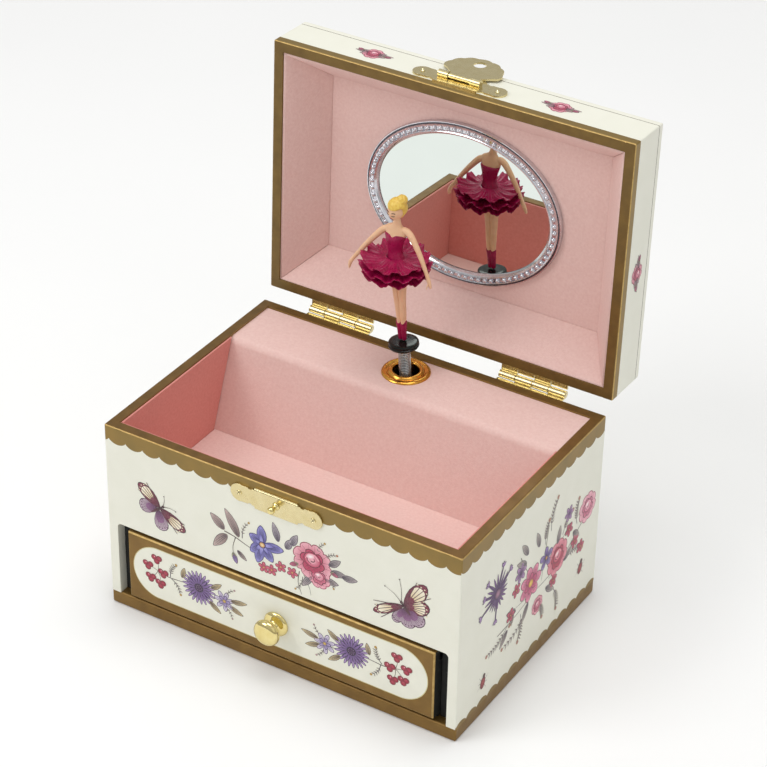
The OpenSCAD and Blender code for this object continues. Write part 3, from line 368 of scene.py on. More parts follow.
# Vacuum-metallised plastic: a bright silver skin that shows the mould's soft ripple.
SILVERED = Finish("metallised_plastic", "#DEDEE2", "#CCCCD2", 0.16, 3.0, 1.2, 0.02, metallic=1.0, spread=0.05)
SILVERED_LINE = Finish("metallised_plastic_groove", "#6E6C72", "#5C5A60", 0.3, 2.0, 0.6, 0.01, metallic=1.0)
# Glossy black-green polystyrene disc.
DISC_PLASTIC = Finish("glossy_black_polystyrene", "#0B110E", "#101814", 0.16, 4.0, 0.8, 0.004, ior=1.4)
# Painted PVC figurine: soft satin skin, glossy dress, hand-painted hair and features.
SKIN = Finish("painted_pvc_skin", "#EDC29C", "#E6B78F", 0.42, 3.0, 0.5, 0.01, sockets=(
    ("Subsurface Weight", 0.08), ("Subsurface Radius", (0.004, 0.0016, 0.0008)), ("Subsurface Scale", 0.5)))
DRESS = Finish("glossy_magenta_enamel", "#A80F4C", "#8C0A3C", 0.3, 2.5, 0.6, 0.02, ior=1.4)
HAIR = Finish("painted_blond_hair", "#EBCB62", "#D9AF46", 0.38, 0.9, 0.45, 0.09)
LASH = Finish("painted_dark_line", "#5A3A28", "#4A2C1E", 0.45, 1.0, 0.4, 0.004)
LIP = Finish("painted_red_lip", "#A81E30", "#981828", 0.35, 1.0, 0.4, 0.004)
FLOOR = Finish("matt_white_paper_sweep", "#FBFBFA", "#F9F9F8", 0.9, 200.0, 4.0, 0.02)


# ---------------------------------------------------------------- Mesh tools


def node_mesh(node: str, closed: bool = False) -> BMesh:
    """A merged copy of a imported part's mesh, its flat faces made whole.

    Args:
        node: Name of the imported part.
        closed: True to bring a lid part back to its closed place.

    Returns:
        The copy, which the caller shapes and frees.
    """
    bm = bmesh.new()
    bm.from_mesh(frame["nodes"][node].data)
    bmesh.ops.remove_doubles(bm, verts=bm.verts, dist=2e-6)
    bmesh.ops.dissolve_limit(bm, angle_limit=math.radians(0.5), verts=bm.verts, edges=bm.edges)
    if closed:
        bmesh.ops.transform(bm, matrix=LID.inverted(), verts=bm.verts)
    bm.normal_update()
    return bm


def round_edges(bm: BMesh, width_mm: float, chosen: Callable[[BMEdge], bool], segments: int = 3) -> None:
    """Rounds the sharp edges that a test picks out."""
    edges = [e for e in bm.edges if len(e.link_faces) == 2
             and e.calc_face_angle(0.0) > math.radians(28) and chosen(e)]
    bmesh.ops.bevel(bm, geom=edges, offset=width_mm * MM, offset_type="OFFSET", segments=segments,
                    profile=0.5, affect="EDGES", material=-1, clamp_overlap=True)
    bm.normal_update()


def lathe(bm: BMesh, profile: Sequence[Point], steps: int, place: Matrix) -> list[BMVert]:
    """Spins a profile of radius and height, in millimetres, about an upright axis.

    Args:
        bm: Mesh that the turned form is added to.
        profile: Radius and height of each point, from one end to the other.
        steps: Number of steps round.
        place: Where the axis stands.

    Returns:
        The new vertices.
    """
    old = set(bm.verts)
    line = [bm.verts.new((r * MM, 0.0, h * MM)) for r, h in profile]
    edges = [bm.edges.new(pair) for pair in zip(line, line[1:])]
    bmesh.ops.spin(bm, geom=line + edges, cent=(0, 0, 0), axis=(0, 0, 1), angle=math.tau, steps=steps,
                   use_merge=True, use_duplicate=False)
    new = [v for v in bm.verts if v not in old]
    bmesh.ops.remove_doubles(bm, verts=new, dist=1e-7)
    new = [v for v in bm.verts if v not in old]
    faces = list({f for v in new for f in v.link_faces})
    bmesh.ops.recalc_face_normals(bm, faces=faces)
    bmesh.ops.transform(bm, matrix=place, verts=new)
    return new


@dataclass(frozen=True)
class Ring:
    """One cross-section: its centre and its half width and half depth, in millimetres."""

    x: float
    y: float
    z: float
    wide: float
    deep: float


def loft(bm: BMesh, rings: Sequence[Ring], sides: int = 16, level: bool = False) -> list[BMVert]:
    """Joins oval cross-sections into a closed form.

    Args:
        bm: Mesh that the form is added to.
        rings: Cross-sections from one end to the other.
        sides: Points in each cross-section.
        level: True to keep every section level, or False to turn each across the path.

    Returns:
        The new vertices.
    """
    old = set(bm.verts)
    centres = [Vector((r.x, r.y, r.z)) * MM for r in rings]
    loops: list[list[BMEdge]] = []
    for k, ring in enumerate(rings):
        ahead = centres[min(k + 1, len(rings) - 1)] - centres[max(k - 1, 0)]
        turn = Quaternion() if level else Vector((0, 0, 1)).rotation_difference(ahead)
        size = Matrix.Diagonal((ring.wide * MM, ring.deep * MM, 1.0, 1.0))
        place = Matrix.Translation(centres[k]) @ turn.to_matrix().to_4x4() @ size
        made = bmesh.ops.create_circle(bm, cap_ends=k in (0, len(rings) - 1), segments=sides, radius=1.0,
                                       matrix=place)
        loops.append(list({e for v in made["verts"] for e in v.link_edges}))
    for lower, upper in zip(loops, loops[1:]):
        bmesh.ops.bridge_loops(bm, edges=lower + upper)
    new = [v for v in bm.verts if v not in old]
    bmesh.ops.recalc_face_normals(bm, faces=list({f for v in new for f in v.link_faces}))
    return new


def shells(bm: BMesh) -> list[list[BMVert]]:
    """The separate solids in a mesh, each as its vertices."""
    left, found = set(bm.verts), []
    while left:
        front = [left.pop()]
        group = list(front)
        while front:
            for edge in front.pop().link_edges:
                for vert in edge.verts:
                    if vert in left:
                        left.discard(vert)
                        front.append(vert)
                        group.append(vert)
        found.append(group)
    return found


@dataclass
class Piece:
    """A finished piece's name, the body it rides on, its record slot and the parts it stands for."""

    name: str
    body: str
    slot: str
    replaces: tuple[str, ...] = ()
    smooth_deg: float | None = SMOOTH_DEG
    subdivide: int = 0

    def make(self, bm: BMesh, *finishes: Finish) -> bpy.types.Object:
        """Turns the mesh into an object, dresses it and hangs it on its body.

        Args:
            bm: The finished mesh, in metres, which is freed here.
            *finishes: One finish for each material number in the mesh.

        Returns:
            The new object.
        """
        mesh = bpy.data.meshes.new(self.name)
        bm.to_mesh(mesh)
        bm.free()
        for finish in finishes:
            mesh.materials.append(finish.material())
        if self.smooth_deg is not None:
            mesh.shade_smooth()
            if not self.subdivide:
                mesh.set_sharp_from_angle(angle=math.radians(self.smooth_deg))
        thing = placed(self.name, mesh)
        if self.subdivide:
            subdivision = thing.modifiers.new("Subdivision", "SUBSURF")
            subdivision.levels = subdivision.render_levels = self.subdivide
        elif self.smooth_deg is not None:
            flatter = thing.modifiers.new("WeightedNormal", "WEIGHTED_NORMAL")
            flatter.keep_sharp = True
        if self.body:
            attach(thing, self.body)
        if self.replaces:
            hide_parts(*self.replaces)
        LOG.info("%s: %d faces, on %s", self.name, len(mesh.polygons), self.body or "a blend")
        return thing


def dress_node(node: str, finish: Finish) -> None:
    """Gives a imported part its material, in place of its plain colour."""
    mesh = frame["nodes"][node].data
    mesh.materials.clear()
    mesh.materials.append(finish.material())


def body_of_node(node: str) -> str:
    """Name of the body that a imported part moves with."""
    groups = frame["record"]["behaviour"]["bodies"]
    return next(body for body, members in groups.items() if node in members)


# ---------------------------------------------------------------- Printed decoration


class Face(Enum):
    """The faces that carry a print: where the print's right, up and outward directions point."""

    FRONT = ((1, 0, 0), (0, 0, 1), (0, -1, 0))
    BACK = ((-1, 0, 0), (0, 0, 1), (0, 1, 0))
    RIGHT = ((0, 1, 0), (0, 0, 1), (1, 0, 0))
    LEFT = ((0, -1, 0), (0, 0, 1), (-1, 0, 0))
    TOP = ((1, 0, 0), (0, 1, 0), (0, 0, 1))


@dataclass
class Print:
    """Ink laid on one face, as thin flat shapes with a colour at each point."""

    face: Face
    out_mm: float
    lid: bool = False
    layer_mm: float = 0.02
    lift_mm: float = 0.02
    pass_mm: float = 0.0005
    passes: int = 40
    outline_mm: tuple[float, float] = (0.34, 0.62)
    vein_mm: float = 0.22
    count: int = 0
    shift: Point = (0.0, 0.0)
    bm: BMesh = field(default_factory=bmesh.new)

    def __post_init__(self) -> None:
        """Makes the colour layer that the ink reads."""
        self.ink = self.bm.verts.layers.float_color.new("ink")

    def put(self, verts: Iterable[BMVert], spot: Callable[[float, float], tuple[float, float, Colour]],
            layer: int) -> None:
        """Moves unit-square vertices to their place on the face and inks them.

        Args:
            verts: Vertices of a flat shape between -1 and 1.
            spot: Gives the place along and up the face, and the colour, of each.
            layer: How many inks lie under this one.
        """
        right, up, out = (Vector(v) for v in self.face.value)
        self.count += 1
        height = self.lift_mm + layer * self.layer_mm + self.count % self.passes * self.pass_mm
        away = out * (self.out_mm + height)
        for vert in verts:
            u, v, colour = spot(vert.co.x, vert.co.y)
            vert.co = (right * (u + self.shift[0]) + up * (v + self.shift[1]) + away) * MM
            vert[self.ink] = colour

    def oval(self, at: Point, wide: float, high: float, middle: str, edge: str, layer: int = 2,
             turn: float = 0.0, sides: int = 14) -> None:
        """An oval spot, from one colour in its middle to another at its edge."""
        made = bmesh.ops.create_circle(self.bm, cap_ends=True, cap_tris=True, segments=sides, radius=1.0)
        first, second = linear(middle), linear(edge)

        def spot(x: float, y: float) -> tuple[float, float, Colour]:
            """Place and colour of one point."""
            return *beside(at, turn, x * wide / 2, y * high / 2), blend_colour(first, second,
                                                                               math.hypot(x, y))

        self.put(made["verts"], spot, layer)

    def petal(self, start: Point, turn: float, length: float, width: float, base: str, tip: str,
              layer: int = 2, point: float = 0.0, bend: float = 0.0, line: str | None = None,
              veins: int = 0) -> None:
        """A petal or leaf from its base outwards.

        Args:
            start: Where it grows from.
            turn: Direction it grows in, in degrees from the face's right.
            length: Length in millimetres.
            width: Greatest width in millimetres.
            base: Colour at the base.
            tip: Colour at the tip.
            layer: How many inks lie under this one.
            point: 0 for a round tip, up to 1 for a sharp one.
            bend: Sideways curve of the tip, as a share of the length.
            line: Colour of the drawn outline and veins, if it has them.
            veins: Number of veins.
        """
        if line:
            longer, wider = self.outline_mm
            self.petal(start, turn, length + longer, width + wider, line, line, layer - 1, point, bend)
        made = bmesh.ops.create_circle(self.bm, cap_ends=True, cap_tris=True, segments=16, radius=1.0)
        first, second = linear(base), linear(tip)

        def place(t: float, side: float) -> Point:
            """Point at a share of the length and a share of the half width."""
            full = (t + 0.12) ** (0.55 - 0.35 * point) * (1.08 - t) ** (0.75 * point)
            return beside(start, turn, t * length, side * width * 0.5 * full + bend * length * t * t)

        def spot(x: float, y: float) -> tuple[float, float, Colour]:
            """Place and colour of one point."""
            t = (1 + x) / 2
            return *place(t, y), blend_colour(first, second, t)

        self.put(made["verts"], spot, layer)
        for k in range(veins):
            side = 0.0 if veins == 1 else -0.55 + 1.1 * k / (veins - 1)
            self.stroke([place(t, side * (0.35 + 0.65 * t)) for t in (0.08, 0.35, 0.62, 0.85)],
                        self.vein_mm, line or base, layer + 1)

    def stroke(self, path: Sequence[Point], width: float, colour: str, layer: int = 3,
               end: float = 0.35) -> None:
        """A drawn line that thins towards its end."""
        steps = 3 * (len(path) - 1)
        made = bmesh.ops.create_grid(self.bm, x_segments=steps, y_segments=1, size=1.0)
        ink = linear(colour)

        def along(t: float) -> Vector:
            """Point on the smooth line through the path."""
            place = min(max(t, 0.0), 1.0) * (len(path) - 1)
            k = min(int(place), len(path) - 2)
            a, b = Vector(path[max(k - 1, 0)]), Vector(path[k])
            c, d = Vector(path[k + 1]), Vector(path[min(k + 2, len(path) - 1)])
            f = place - k
            return 0.5 * (2 * b + (c - a) * f + (2 * a - 5 * b + 4 * c - d) * f * f
                          + (3 * b - a - 3 * c + d) * f ** 3)

        def spot(x: float, y: float) -> tuple[float, float, Colour]:
            """Place and colour of one point."""
            t = (1 + x) / 2
            ahead = (along(t + 0.02) - along(t - 0.02)).normalized()
            here = along(t) + Vector((-ahead.y, ahead.x)) * y * width / 2 * (1 - (1 - end) * t)
            return here.x, here.y, ink

        self.put(made["verts"], spot, layer)

    def done(self, name: str, body: str, slot: str = "paper_board") -> bpy.types.Object:
        """Finishes the print as one piece on its body."""
        if self.lid:
            bmesh.ops.transform(self.bm, matrix=LID, verts=self.bm.verts)
        self.bm.normal_update()
        out = Vector(self.face.value[2])
        if self.lid:
            out = LID.to_3x3() @ out
        bmesh.ops.reverse_faces(self.bm, faces=[f for f in self.bm.faces if f.normal.dot(out) < 0])
        return Piece(name, body, slot, smooth_deg=None).make(self.bm, INK)


STEM_INK = "#54463E"
LEAF_LINE = "#33263C"
ROSE_DEEP = "#5A1028"


@dataclass
class Florist(Print):
    """A print with the box's flowers, leaves and insects."""

    def leaf(self, start: Point, tip: Point, width: float, base: str = "#6A5A5C", end: str = "#C4B2A8",
             line: str = "#38283A", bend: float = 0.08) -> None:
        """A veined leaf between two points."""
        self.petal(start, heading(start, tip), math.dist(start, tip), width * 1.25, base, end, 2, 0.7, bend,
                   line, 3)

    def leaves(self, ends: Iterable[tuple[Point, Point]], width: float, *looks: object) -> None:
        """Leaves of one width and colour, each from its base to its tip."""
        for start, tip in ends:
            self.leaf(start, tip, width, *looks)

    def ring(self, at: Point, count: int, reach: float, width: float, base: str, tip: str, layer: int,
             line: str | None, veins: int = 1, start: float = 0.0) -> None:
        """A ring of petals round a centre."""
        for k in range(count):
            self.petal(at, start + 360 * k / count, reach, width, base, tip, layer, 0.15, 0.0, line, veins)

    def blossom(self, at: Point, reach: float, width: float, base: str, tip: str, line: str, veins: int,
                start: float) -> None:
        """A small five-petalled blossom with a yellow eye."""
        self.ring(at, 5, reach, width, base, tip, 3, line, veins, start=start)
        self.oval(at, 0.9, 0.9, "#F0D080", "#B08030", 6, sides=6)

    def aster(self, at: Point, reach: float = 7.6) -> None:
        """A daisy-like flower with two rows of thin petals."""
        self.ring(at, 22, reach, 1.3, "#4A2C66", "#B59ACA", 2, "#351C50", 0)
        self.ring(at, 18, reach * 0.74, 1.15, "#3E2258", "#9070AC", 4, "#2C1544", 0, start=9)
        self.oval(at, 4.2, 4.0, "#4E3058", "#200E2C", 6)
        for turn in range(0, 360, 40):
            self.oval(beside(at, turn, 1.3), 0.5, 0.5, "#9A78A8", "#6A4878", 7, sides=6)

    def bell(self, at: Point, reach: float = 4.6) -> None:
        """A lilac flower with narrow, dark-lined petals and curled tips."""
        self.ring(at, 7, reach, 2.2, "#8E7CA8", "#DCD2E4", 2, "#5C4A74", 1, start=20)
        self.ring(at, 5, reach * 0.55, 1.5, "#6A5490", "#B4A4CC", 4, "#4A3668", 0)
        self.oval(at, 1.6, 1.6, "#E0C060", "#A08040", 6, sides=8)

    def blue_flower(self, at: Point, reach: float = 7.8) -> None:
        """An open blue-violet flower with five broad petals."""
        for turn, size in ((150, 0.82), (-140, 0.92), (92, 1.1), (-56, 1.0), (3, 1.22), (-107, 1.18)):
            self.petal(at, turn, reach * size, 6.2, "#2E2878", "#948ED2", 3, 0.5, 0.04, "#1E1850", 6)
            self.petal(at, turn + 7, reach * size * 0.55, 2.2, "#B8B4E8", "#6A62B4", 5, 0.6)
        self.oval(at, 3.4, 3.2, "#3A2A5C", "#2A2068", 6, sides=10)
        self.oval(at, 2.4, 2.3, "#F6E2B0", "#C88A40", 7, sides=10)

    def rose(self, at: Point, size: float, deep: str = "#861838", light: str = "#F0B2BE",
             mid: str = "#C23E64") -> None:
        """A full rose: outer petals, a cupped heart and the light catching its top."""
        x, y = at
        for turn in (-158, -112, -68, -22, 24, 68, 112, 158):
            start = (x + 0.17 * size * math.cos(math.radians(turn)),
                     y + 0.15 * size * math.sin(math.radians(turn)))
            self.petal(start, turn, size * 0.38, size * 0.42, mid, light, 2, 0.0, 0.08, deep, 2)
        for turn in (-135, -80, -25, 35, 100, 160):
            self.petal((x, y), turn, size * 0.34, size * 0.3, deep, mid, 4, 0.0, 0.1, ROSE_DEEP, 1)
        self.oval((x, y + 0.06 * size), size * 0.5, size * 0.45, ROSE_DEEP, ROSE_DEEP, 5)
        self.oval((x, y + 0.06 * size), size * 0.46, size * 0.41, light, mid, 6)
        for k, ink in enumerate((light, ROSE_DEEP, light, ROSE_DEEP)):
            r = size * (0.19 - 0.04 * k)
            path = [(x + r * math.cos(a), y + 0.06 * size + r * 0.85 * math.sin(a))
                    for a in (turn + 1.3 * k for turn in (0.2, 1.2, 2.2, 3.2))]
            self.stroke(path, 0.04 * size, ink, 7)
        self.oval((x - 0.05 * size, y + 0.14 * size), size * 0.24, size * 0.13, "#FFFAF8", light, 8, 20, 10)

    def bud(self, at: Point, turn: float, size: float, base: str = "#7A2A4A", tip: str = "#D4708C") -> None:
        """A closed bud in its small sepals."""
        self.petal(at, turn, size, size * 0.6, base, tip, 3, 0.5, 0.0, "#5A1E3A", 2)
        for side in (-32, 32):
            self.petal(at, turn + side, size * 0.5, size * 0.22, "#6E7058", "#A8A488", 5, 0.9)

    def berries(self, spots: Sequence[Point], join: Point, size: float) -> None:
        """Red berries with a highlight, each on its stalk."""
        for spot in spots:
            self.stroke([join, ((join[0] + spot[0]) / 2 + 0.5, (join[1] + spot[1]) / 2), spot], 0.3,
                             "#6A5A48", 1)
            for dx, dy in ((-0.26, 0.12), (0.26, 0.12), (0.0, -0.24)):
                self.oval((spot[0] + dx * size, spot[1] + dy * size), size * 0.62, size * 0.6,
                               "#BE2E4C", "#740E26", 3, sides=10)
            self.oval((spot[0] - 0.2 * size, spot[1] + 0.22 * size), size * 0.18, size * 0.14,
                           "#F4D0D4", "#D06078", 5, sides=6)

    def sprig(self, start: Point, end: Point, count: int = 5, size: float = 1.3, colour: str = "#4E4048",
              tip: str = "#C8A84C", bend: float = 0.12) -> None:
        """A thin stem with small paired leaves and a bright bud at its end."""
        ahead = Vector(end) - Vector(start)
        side = Vector((-ahead.y, ahead.x))
        path = [tuple(Vector(start) + ahead * t + side * bend * math.sin(math.pi * t)) for t in (0, 0.33,
                                                                                                 0.66, 1)]
        self.stroke(path, 0.36, colour, 1)
        turn = math.degrees(math.atan2(ahead.y, ahead.x))
        for k in range(count):
            t = 0.25 + 0.7 * k / count
            at = tuple(Vector(start) + ahead * t + side * bend * math.sin(math.pi * t))
            for lean in (-48, 48):
                self.petal(at, turn + lean, size, size * 0.42, colour, "#B4A894", 2, 0.7)
        self.oval(end, size * 0.8, size * 0.8, tip, "#A87E38", 3, sides=8)

    def wing(self, root: Point, tip: Point, width: float, hind: bool) -> None:
        """One wing: dark root and tip with a cream field, or mauve with a pale edge for a hind wing."""
        turn, length = heading(root, tip), math.dist(root, tip)
        if hind:
            self.petal(root, turn, length, width, "#5A2A50", "#C4AEBC", 1, 0.0, 0.0, "#3C1836", 5)
            self.petal(root, turn, length * 0.66, width * 0.6, "#451640", "#8E5C88", 4, 0.0, 0.0, None, 0)
            self.margin(root, turn, length, width, "#5A2A50")
            return
        self.petal(root, turn, length, width, "#5E1A34", "#7A2440", 3, 0.25, 0.04, "#2A0C1A", 0)
        self.petal(beside(root, turn, length * 0.32), turn, length * 0.52, width * 0.8, "#E2C99C", "#F6EED8",
                   4, 0.1,
                   0.04)
        for lean in (-16, -8, 0, 8, 16):
            self.stroke([root, *(beside(root, turn + lean, length * share) for share in (0.5, 0.9))], 0.34,
                        "#4A1830", 5, 0.7)
        self.petal(root, turn, length * 0.42, width * 0.5, "#42102A", "#7E2A44", 6, 0.3)
        self.margin(root, turn, length, width, "#F2E2C4")

    def margin(self, root: Point, turn: float, length: float, width: float, ink: str) -> None:
        """Spots along a wing's outer edge."""
        for k in range(-2, 3):
            spot = beside(root, turn, length * (0.9 - 0.035 * abs(k)), k * width * 0.17)
            self.oval(spot, 0.75, 0.55, ink, ink, 7, sides=7)

    def butterfly(self, head: Point, tail: Point, fore: Sequence[tuple[float, float, float]],
                  hind: Sequence[tuple[float, float, float]], feelers: Sequence[Point]) -> None:
        """A butterfly from its head, its tail, the tip and width of each wing, and its feelers."""
        chest = tuple((Vector(head) * 0.7 + Vector(tail) * 0.3))
        for x, z, width in hind:
            self.wing(tuple((Vector(head) + Vector(tail)) / 2), (x, z), width, True)
        for x, z, width in fore:
            self.wing(chest, (x, z), width, False)
        self.petal(head, heading(head, tail), math.dist(head, tail) * 1.15, 2.0, "#240A16", "#5E2A3C", 8, 0.4)
        self.oval(head, 1.3, 1.3, "#5A2A34", "#2E1020", 8, sides=8)
        for tip in feelers:
            mid = ((head[0] + tip[0]) / 2 + 0.4, (head[1] + tip[1]) / 2 + 0.5)
            self.stroke([head, mid, tip], 0.26, "#4A2A30", 7)
            self.oval(tip, 0.6, 0.6, "#4A2A30", "#2E1020", 8, sides=6)

    def beetle(self, at: Point, turn: float, size: float) -> None:
        """A small red-brown beetle with its legs out."""
        for along in (-0.51, 0.0, 0.51):
            for side in (-0.62, 0.62):
                self.stroke([at, beside(at, turn, along * size, side * size)], 0.22, "#4A2428", 1)
        self.oval(at, size, size * 0.66, "#B04040", "#6E1C28", 3, turn)
        self.oval(beside(at, turn, size * 0.55), size * 0.4, size * 0.36, "#5A2A2C", "#30141A", 4, turn, 8)
        self.stroke([beside(at, turn, -0.5 * size), at], 0.18, "#4A1420", 5)

    def bouquet(self) -> None:
        """The front's bouquet: grey leaves, the blue flower, the rose and their buds."""
        self.leaves((((-24.3, 57.7), (-30.0, 63.6)), ((-17.6, 56.7), (-22.9, 68.2)),
                     ((-22.9, 55.9), (-30.0, 49.0))),
                    4.6, "#74625F", "#C2AAA4")
        self.stroke([(-24.3, 57.2), (-19.1, 56.2), (-12.5, 54.0), (-7.0, 54.0)], 0.55, STEM_INK, 1)
        self.stroke([(-19.1, 56.2), (-20.4, 51.5), (-20.2, 47.8)], 0.4, STEM_INK, 1)
        self.sprig((-16.0, 57.0), (-12.9, 65.4), 4)
        self.bud((-20.4, 48.6), -70, 4.8, "#4E3C74", "#9A88BC")
        self.leaf((-18.4, 50.4), (-14.6, 46.8), 2.2)
        self.leaves((((0.4, 61.8), (-1.2, 70.0)), ((5.8, 62.4), (9.4, 67.8)), ((3.8, 60.0), (6.6, 64.6))),
                    3.6, "#5E5266", "#B8AEB4", LEAF_LINE)
        self.sprig((18.0, 63.0), (21.3, 69.4), 4)
        self.sprig((21.0, 62.0), (26.8, 66.0), 4, tip="#B83A58")
        self.leaves((((23.0, 60.0), (28.4, 63.4)), ((24.0, 57.6), (30.8, 57.4)), ((28.8, 57.0), (35.6, 57.2)),
                     ((16.0, 52.0), (11.0, 46.4)), ((21.0, 53.0), (27.2, 52.0))), 3.4, "#605660", "#B4A8A8",
                    LEAF_LINE)
        self.blue_flower((-6.8, 57.6))
        for at in ((-6.2, 47.2), (1.6, 50.6), (6.8, 50.0), (-2.6, 47.4)):
            self.blossom(at, 2.3, 1.7, "#9A1E3E", "#E07088", "#6E1228", 0, at[0] * 20)
        self.stroke([(10.0, 52.0), (9.4, 46.8), (11.0, 41.4)], 0.4, STEM_INK, 1)
        self.stroke([(12.0, 51.0), (14.4, 46.2), (15.2, 42.6)], 0.3, STEM_INK, 1)
        self.sprig((11.5, 50.0), (8.2, 43.0), 4, 1.2)
        self.rose((18.8, 52.6), 9.0, "#A82E54", "#F0B4C0", "#D87890")
        self.rose((15.8, 58.8), 15.6)
        self.bud((9.6, 55.4), 205, 4.2)
        self.bud((23.8, 57.4), -20, 3.6)
        self.sprig((23.4, 54.0), (25.4, 50.0), 3, 1.2)

    def drawer_spray(self, mirrored: bool) -> None:
        """One end of the drawer panel: berries, a sprig, the aster and a lilac flower."""
        side = -1.0 if mirrored else 1.0
        right, lower = 2.2, 0.8

        def at(x: float, z: float) -> Point:
            """Point of the left-hand spray, or its place on the other end."""
            return (-x - right, z - lower) if mirrored else (x, z)

        self.berries([at(-60.7, 26.9), at(-56.4, 31.2), at(-59.5, 21.3), at(-53.4, 25.4), at(-54.8, 19.8)],
                     at(-55.9, 25.6), 4.6)
        self.stroke([at(-56.0, 25.6), at(-50.6, 24.6), at(-46.0, 24.9), at(-41.0, 25.2)], 0.5, STEM_INK, 1)
        self.sprig(at(-50.0, 25.0), at(-47.0, 32.0), 5, 1.6, "#4E4650")
        self.sprig(at(-49.4, 24.4), at(-45.2, 18.2), 4, 1.5, "#4E4650")
        self.leaves(((at(-30.6, 27.6), at(-25.4, 30.6)), (at(-31.4, 21.0), at(-26.6, 16.6)),
                     (at(-22.0, 22.6), at(-16.0, 19.6)), (at(-21.4, 25.2), at(-13.8, 25.8)),
                     (at(-44.4, 27.0), at(-42.6, 31.8))), 2.6, "#86745E", "#D2BE92", "#4A3A34", 0.1 * side)
        self.stroke([at(-34.0, 25.0), at(-28.0, 23.4), at(-22.0, 24.0)], 0.45, STEM_INK, 1)
        self.sprig(at(-23.6, 26.2), at(-19.4, 31.0), 3, 1.2, tip="#A890C4")
        self.sprig(at(-24.0, 21.4), at(-20.6, 16.8), 3, 1.2, tip="#A890C4")
        self.bell(at(-24.3, 23.9))
        self.aster(at(-36.3, 25.4))

    def side_bouquet(self) -> None:
        """The tall bouquet on a side wall, from the roses in its heart to the sprays at its ends."""
        stems = (((40.0, 44.0), (24.0, 36.0), (8.0, 34.0), (-14.0, 36.0)),
                 ((30.0, 50.0), (22.0, 44.0), (16.0, 34.0)),
                 ((12.0, 60.0), (10.0, 48.0), (8.0, 36.0)), ((-10.0, 58.0), (-4.0, 48.0), (6.0, 38.0)),
                 ((-26.0, 31.0), (-10.0, 32.0), (4.0, 35.0)), ((34.0, 38.0), (24.0, 34.0), (14.0, 33.0)))
        for path in stems:
            self.stroke(path, 0.45, STEM_INK, 1)
        for start, end in (((10.0, 52.0), (12.0, 62.5)), ((14.0, 56.0), (18.3, 69.5)),
                           ((24.0, 48.0), (31.9, 55.4)),
                           ((-14.0, 36.0), (-16.6, 30.0)), ((-18.0, 31.5), (-34.0, 26.6)),
                           ((-8.0, 30.0), (-9.4, 17.2)),
                           ((18.0, 26.0), (21.8, 13.4)), ((28.0, 34.0), (42.0, 31.0)),
                           ((-2.0, 30.0), (-22.0, 22.0)),
                           ((6.0, 26.0), (10.0, 17.0)), ((36.0, 46.0), (36.6, 58.0))):
            self.sprig(start, end, 7, 2.3, "#5A4A5A", "#B87890")
        self.leaves((((-4.0, 56.0), (-8.6, 63.4)), ((-5.0, 52.0), (-12.2, 56.8)), ((5.0, 54.0), (3.0, 62.0)),
                     ((20.0, 46.0), (22.4, 53.4)), ((-12.0, 34.0), (-19.0, 37.4)),
                     ((26.0, 34.0), (33.0, 37.0)),
                     ((-18.0, 29.0), (-24.0, 24.0)), ((12.0, 30.0), (18.6, 24.6)),
                     ((-2.0, 32.0), (-7.0, 25.0)),
                     ((33.0, 44.0), (38.0, 38.6))), 3.6, "#6C6068", "#BCB0A6")
        self.thistle((-27.4, 52.4))
        open_flower = (-1.0, 40.4)
        self.ring(open_flower, 7, 8.2, 5.8, "#A81C50", "#EC92B0", 3, "#6A1236", 4)
        self.ring(open_flower, 6, 4.6, 3.2, "#8E1442", "#D85C88", 5, "#5A0E2C", 1, start=20)
        self.oval(open_flower, 3.4, 3.4, "#F4D468", "#C8902C", 8)
        self.rose((20.6, 39.4), 14.6, "#8E1436", "#EC9AA8", "#C03858")
        self.rose((44.4, 49.0), 12.4, "#A02A50", "#F4BECA", "#DC7C98")
        self.rose((5.6, 25.6), 7.4, "#A02A50", "#F0B4C0", "#D86C88")
        self.ring((11.0, 45.0), 5, 5.0, 3.6, "#4A2A70", "#A890CC", 3, "#2A1848", 3, start=18)
        self.ring((-9.4, 50.6), 6, 4.2, 2.6, "#5E2A6A", "#C49AC8", 3, "#341440", 2, start=10)
        self.ring((28.6, 55.4), 6, 3.4, 2.0, "#5E2A6A", "#C49AC8", 3, "#341440", 1)
        self.oval((11.0, 45.0), 1.5, 1.5, "#F0C850", "#C07820", 7, sides=8)
        for at in ((34.9, 38.2), (40.1, 32.6), (18.0, 29.6), (-16.2, 34.8), (-12.4, 44.2), (29.4, 47.2)):
            self.blossom(at, 3.0, 2.3, "#8A1836", "#DC6480", "#5A0E22", 1, at[0] * 9)

    def thistle(self, at: Point) -> None:
        """A dark violet thistle whose long stalks end in small tufts."""
        for turn in range(0, 360, 18):
            self.petal(at, turn, 9.4 if 30 < turn < 200 else 7.2, 1.5, "#301540", "#7E5290", 3, 0.6, 0.05,
                       "#240F34", 0)
        for tip in ((-34.6, 60.6), (-24.0, 62.8), (-39.0, 48.8), (-28.4, 40.8), (-18.6, 57.8), (-36.6, 55.6)):
            self.stroke([at, ((tip[0] + at[0]) / 2, (tip[1] + at[1]) / 2), tip], 0.9, "#4A2560", 5, 0.9)
            for lean in (-38, 0, 38):
                self.petal(tip, heading(at, tip) + lean, 2.2, 1.3, "#5E3478", "#C8A8D4", 6, 0.5, 0.0,
                           "#301540", 0)
        self.oval(at, 5.0, 4.6, "#B48098", "#3A1648", 7)

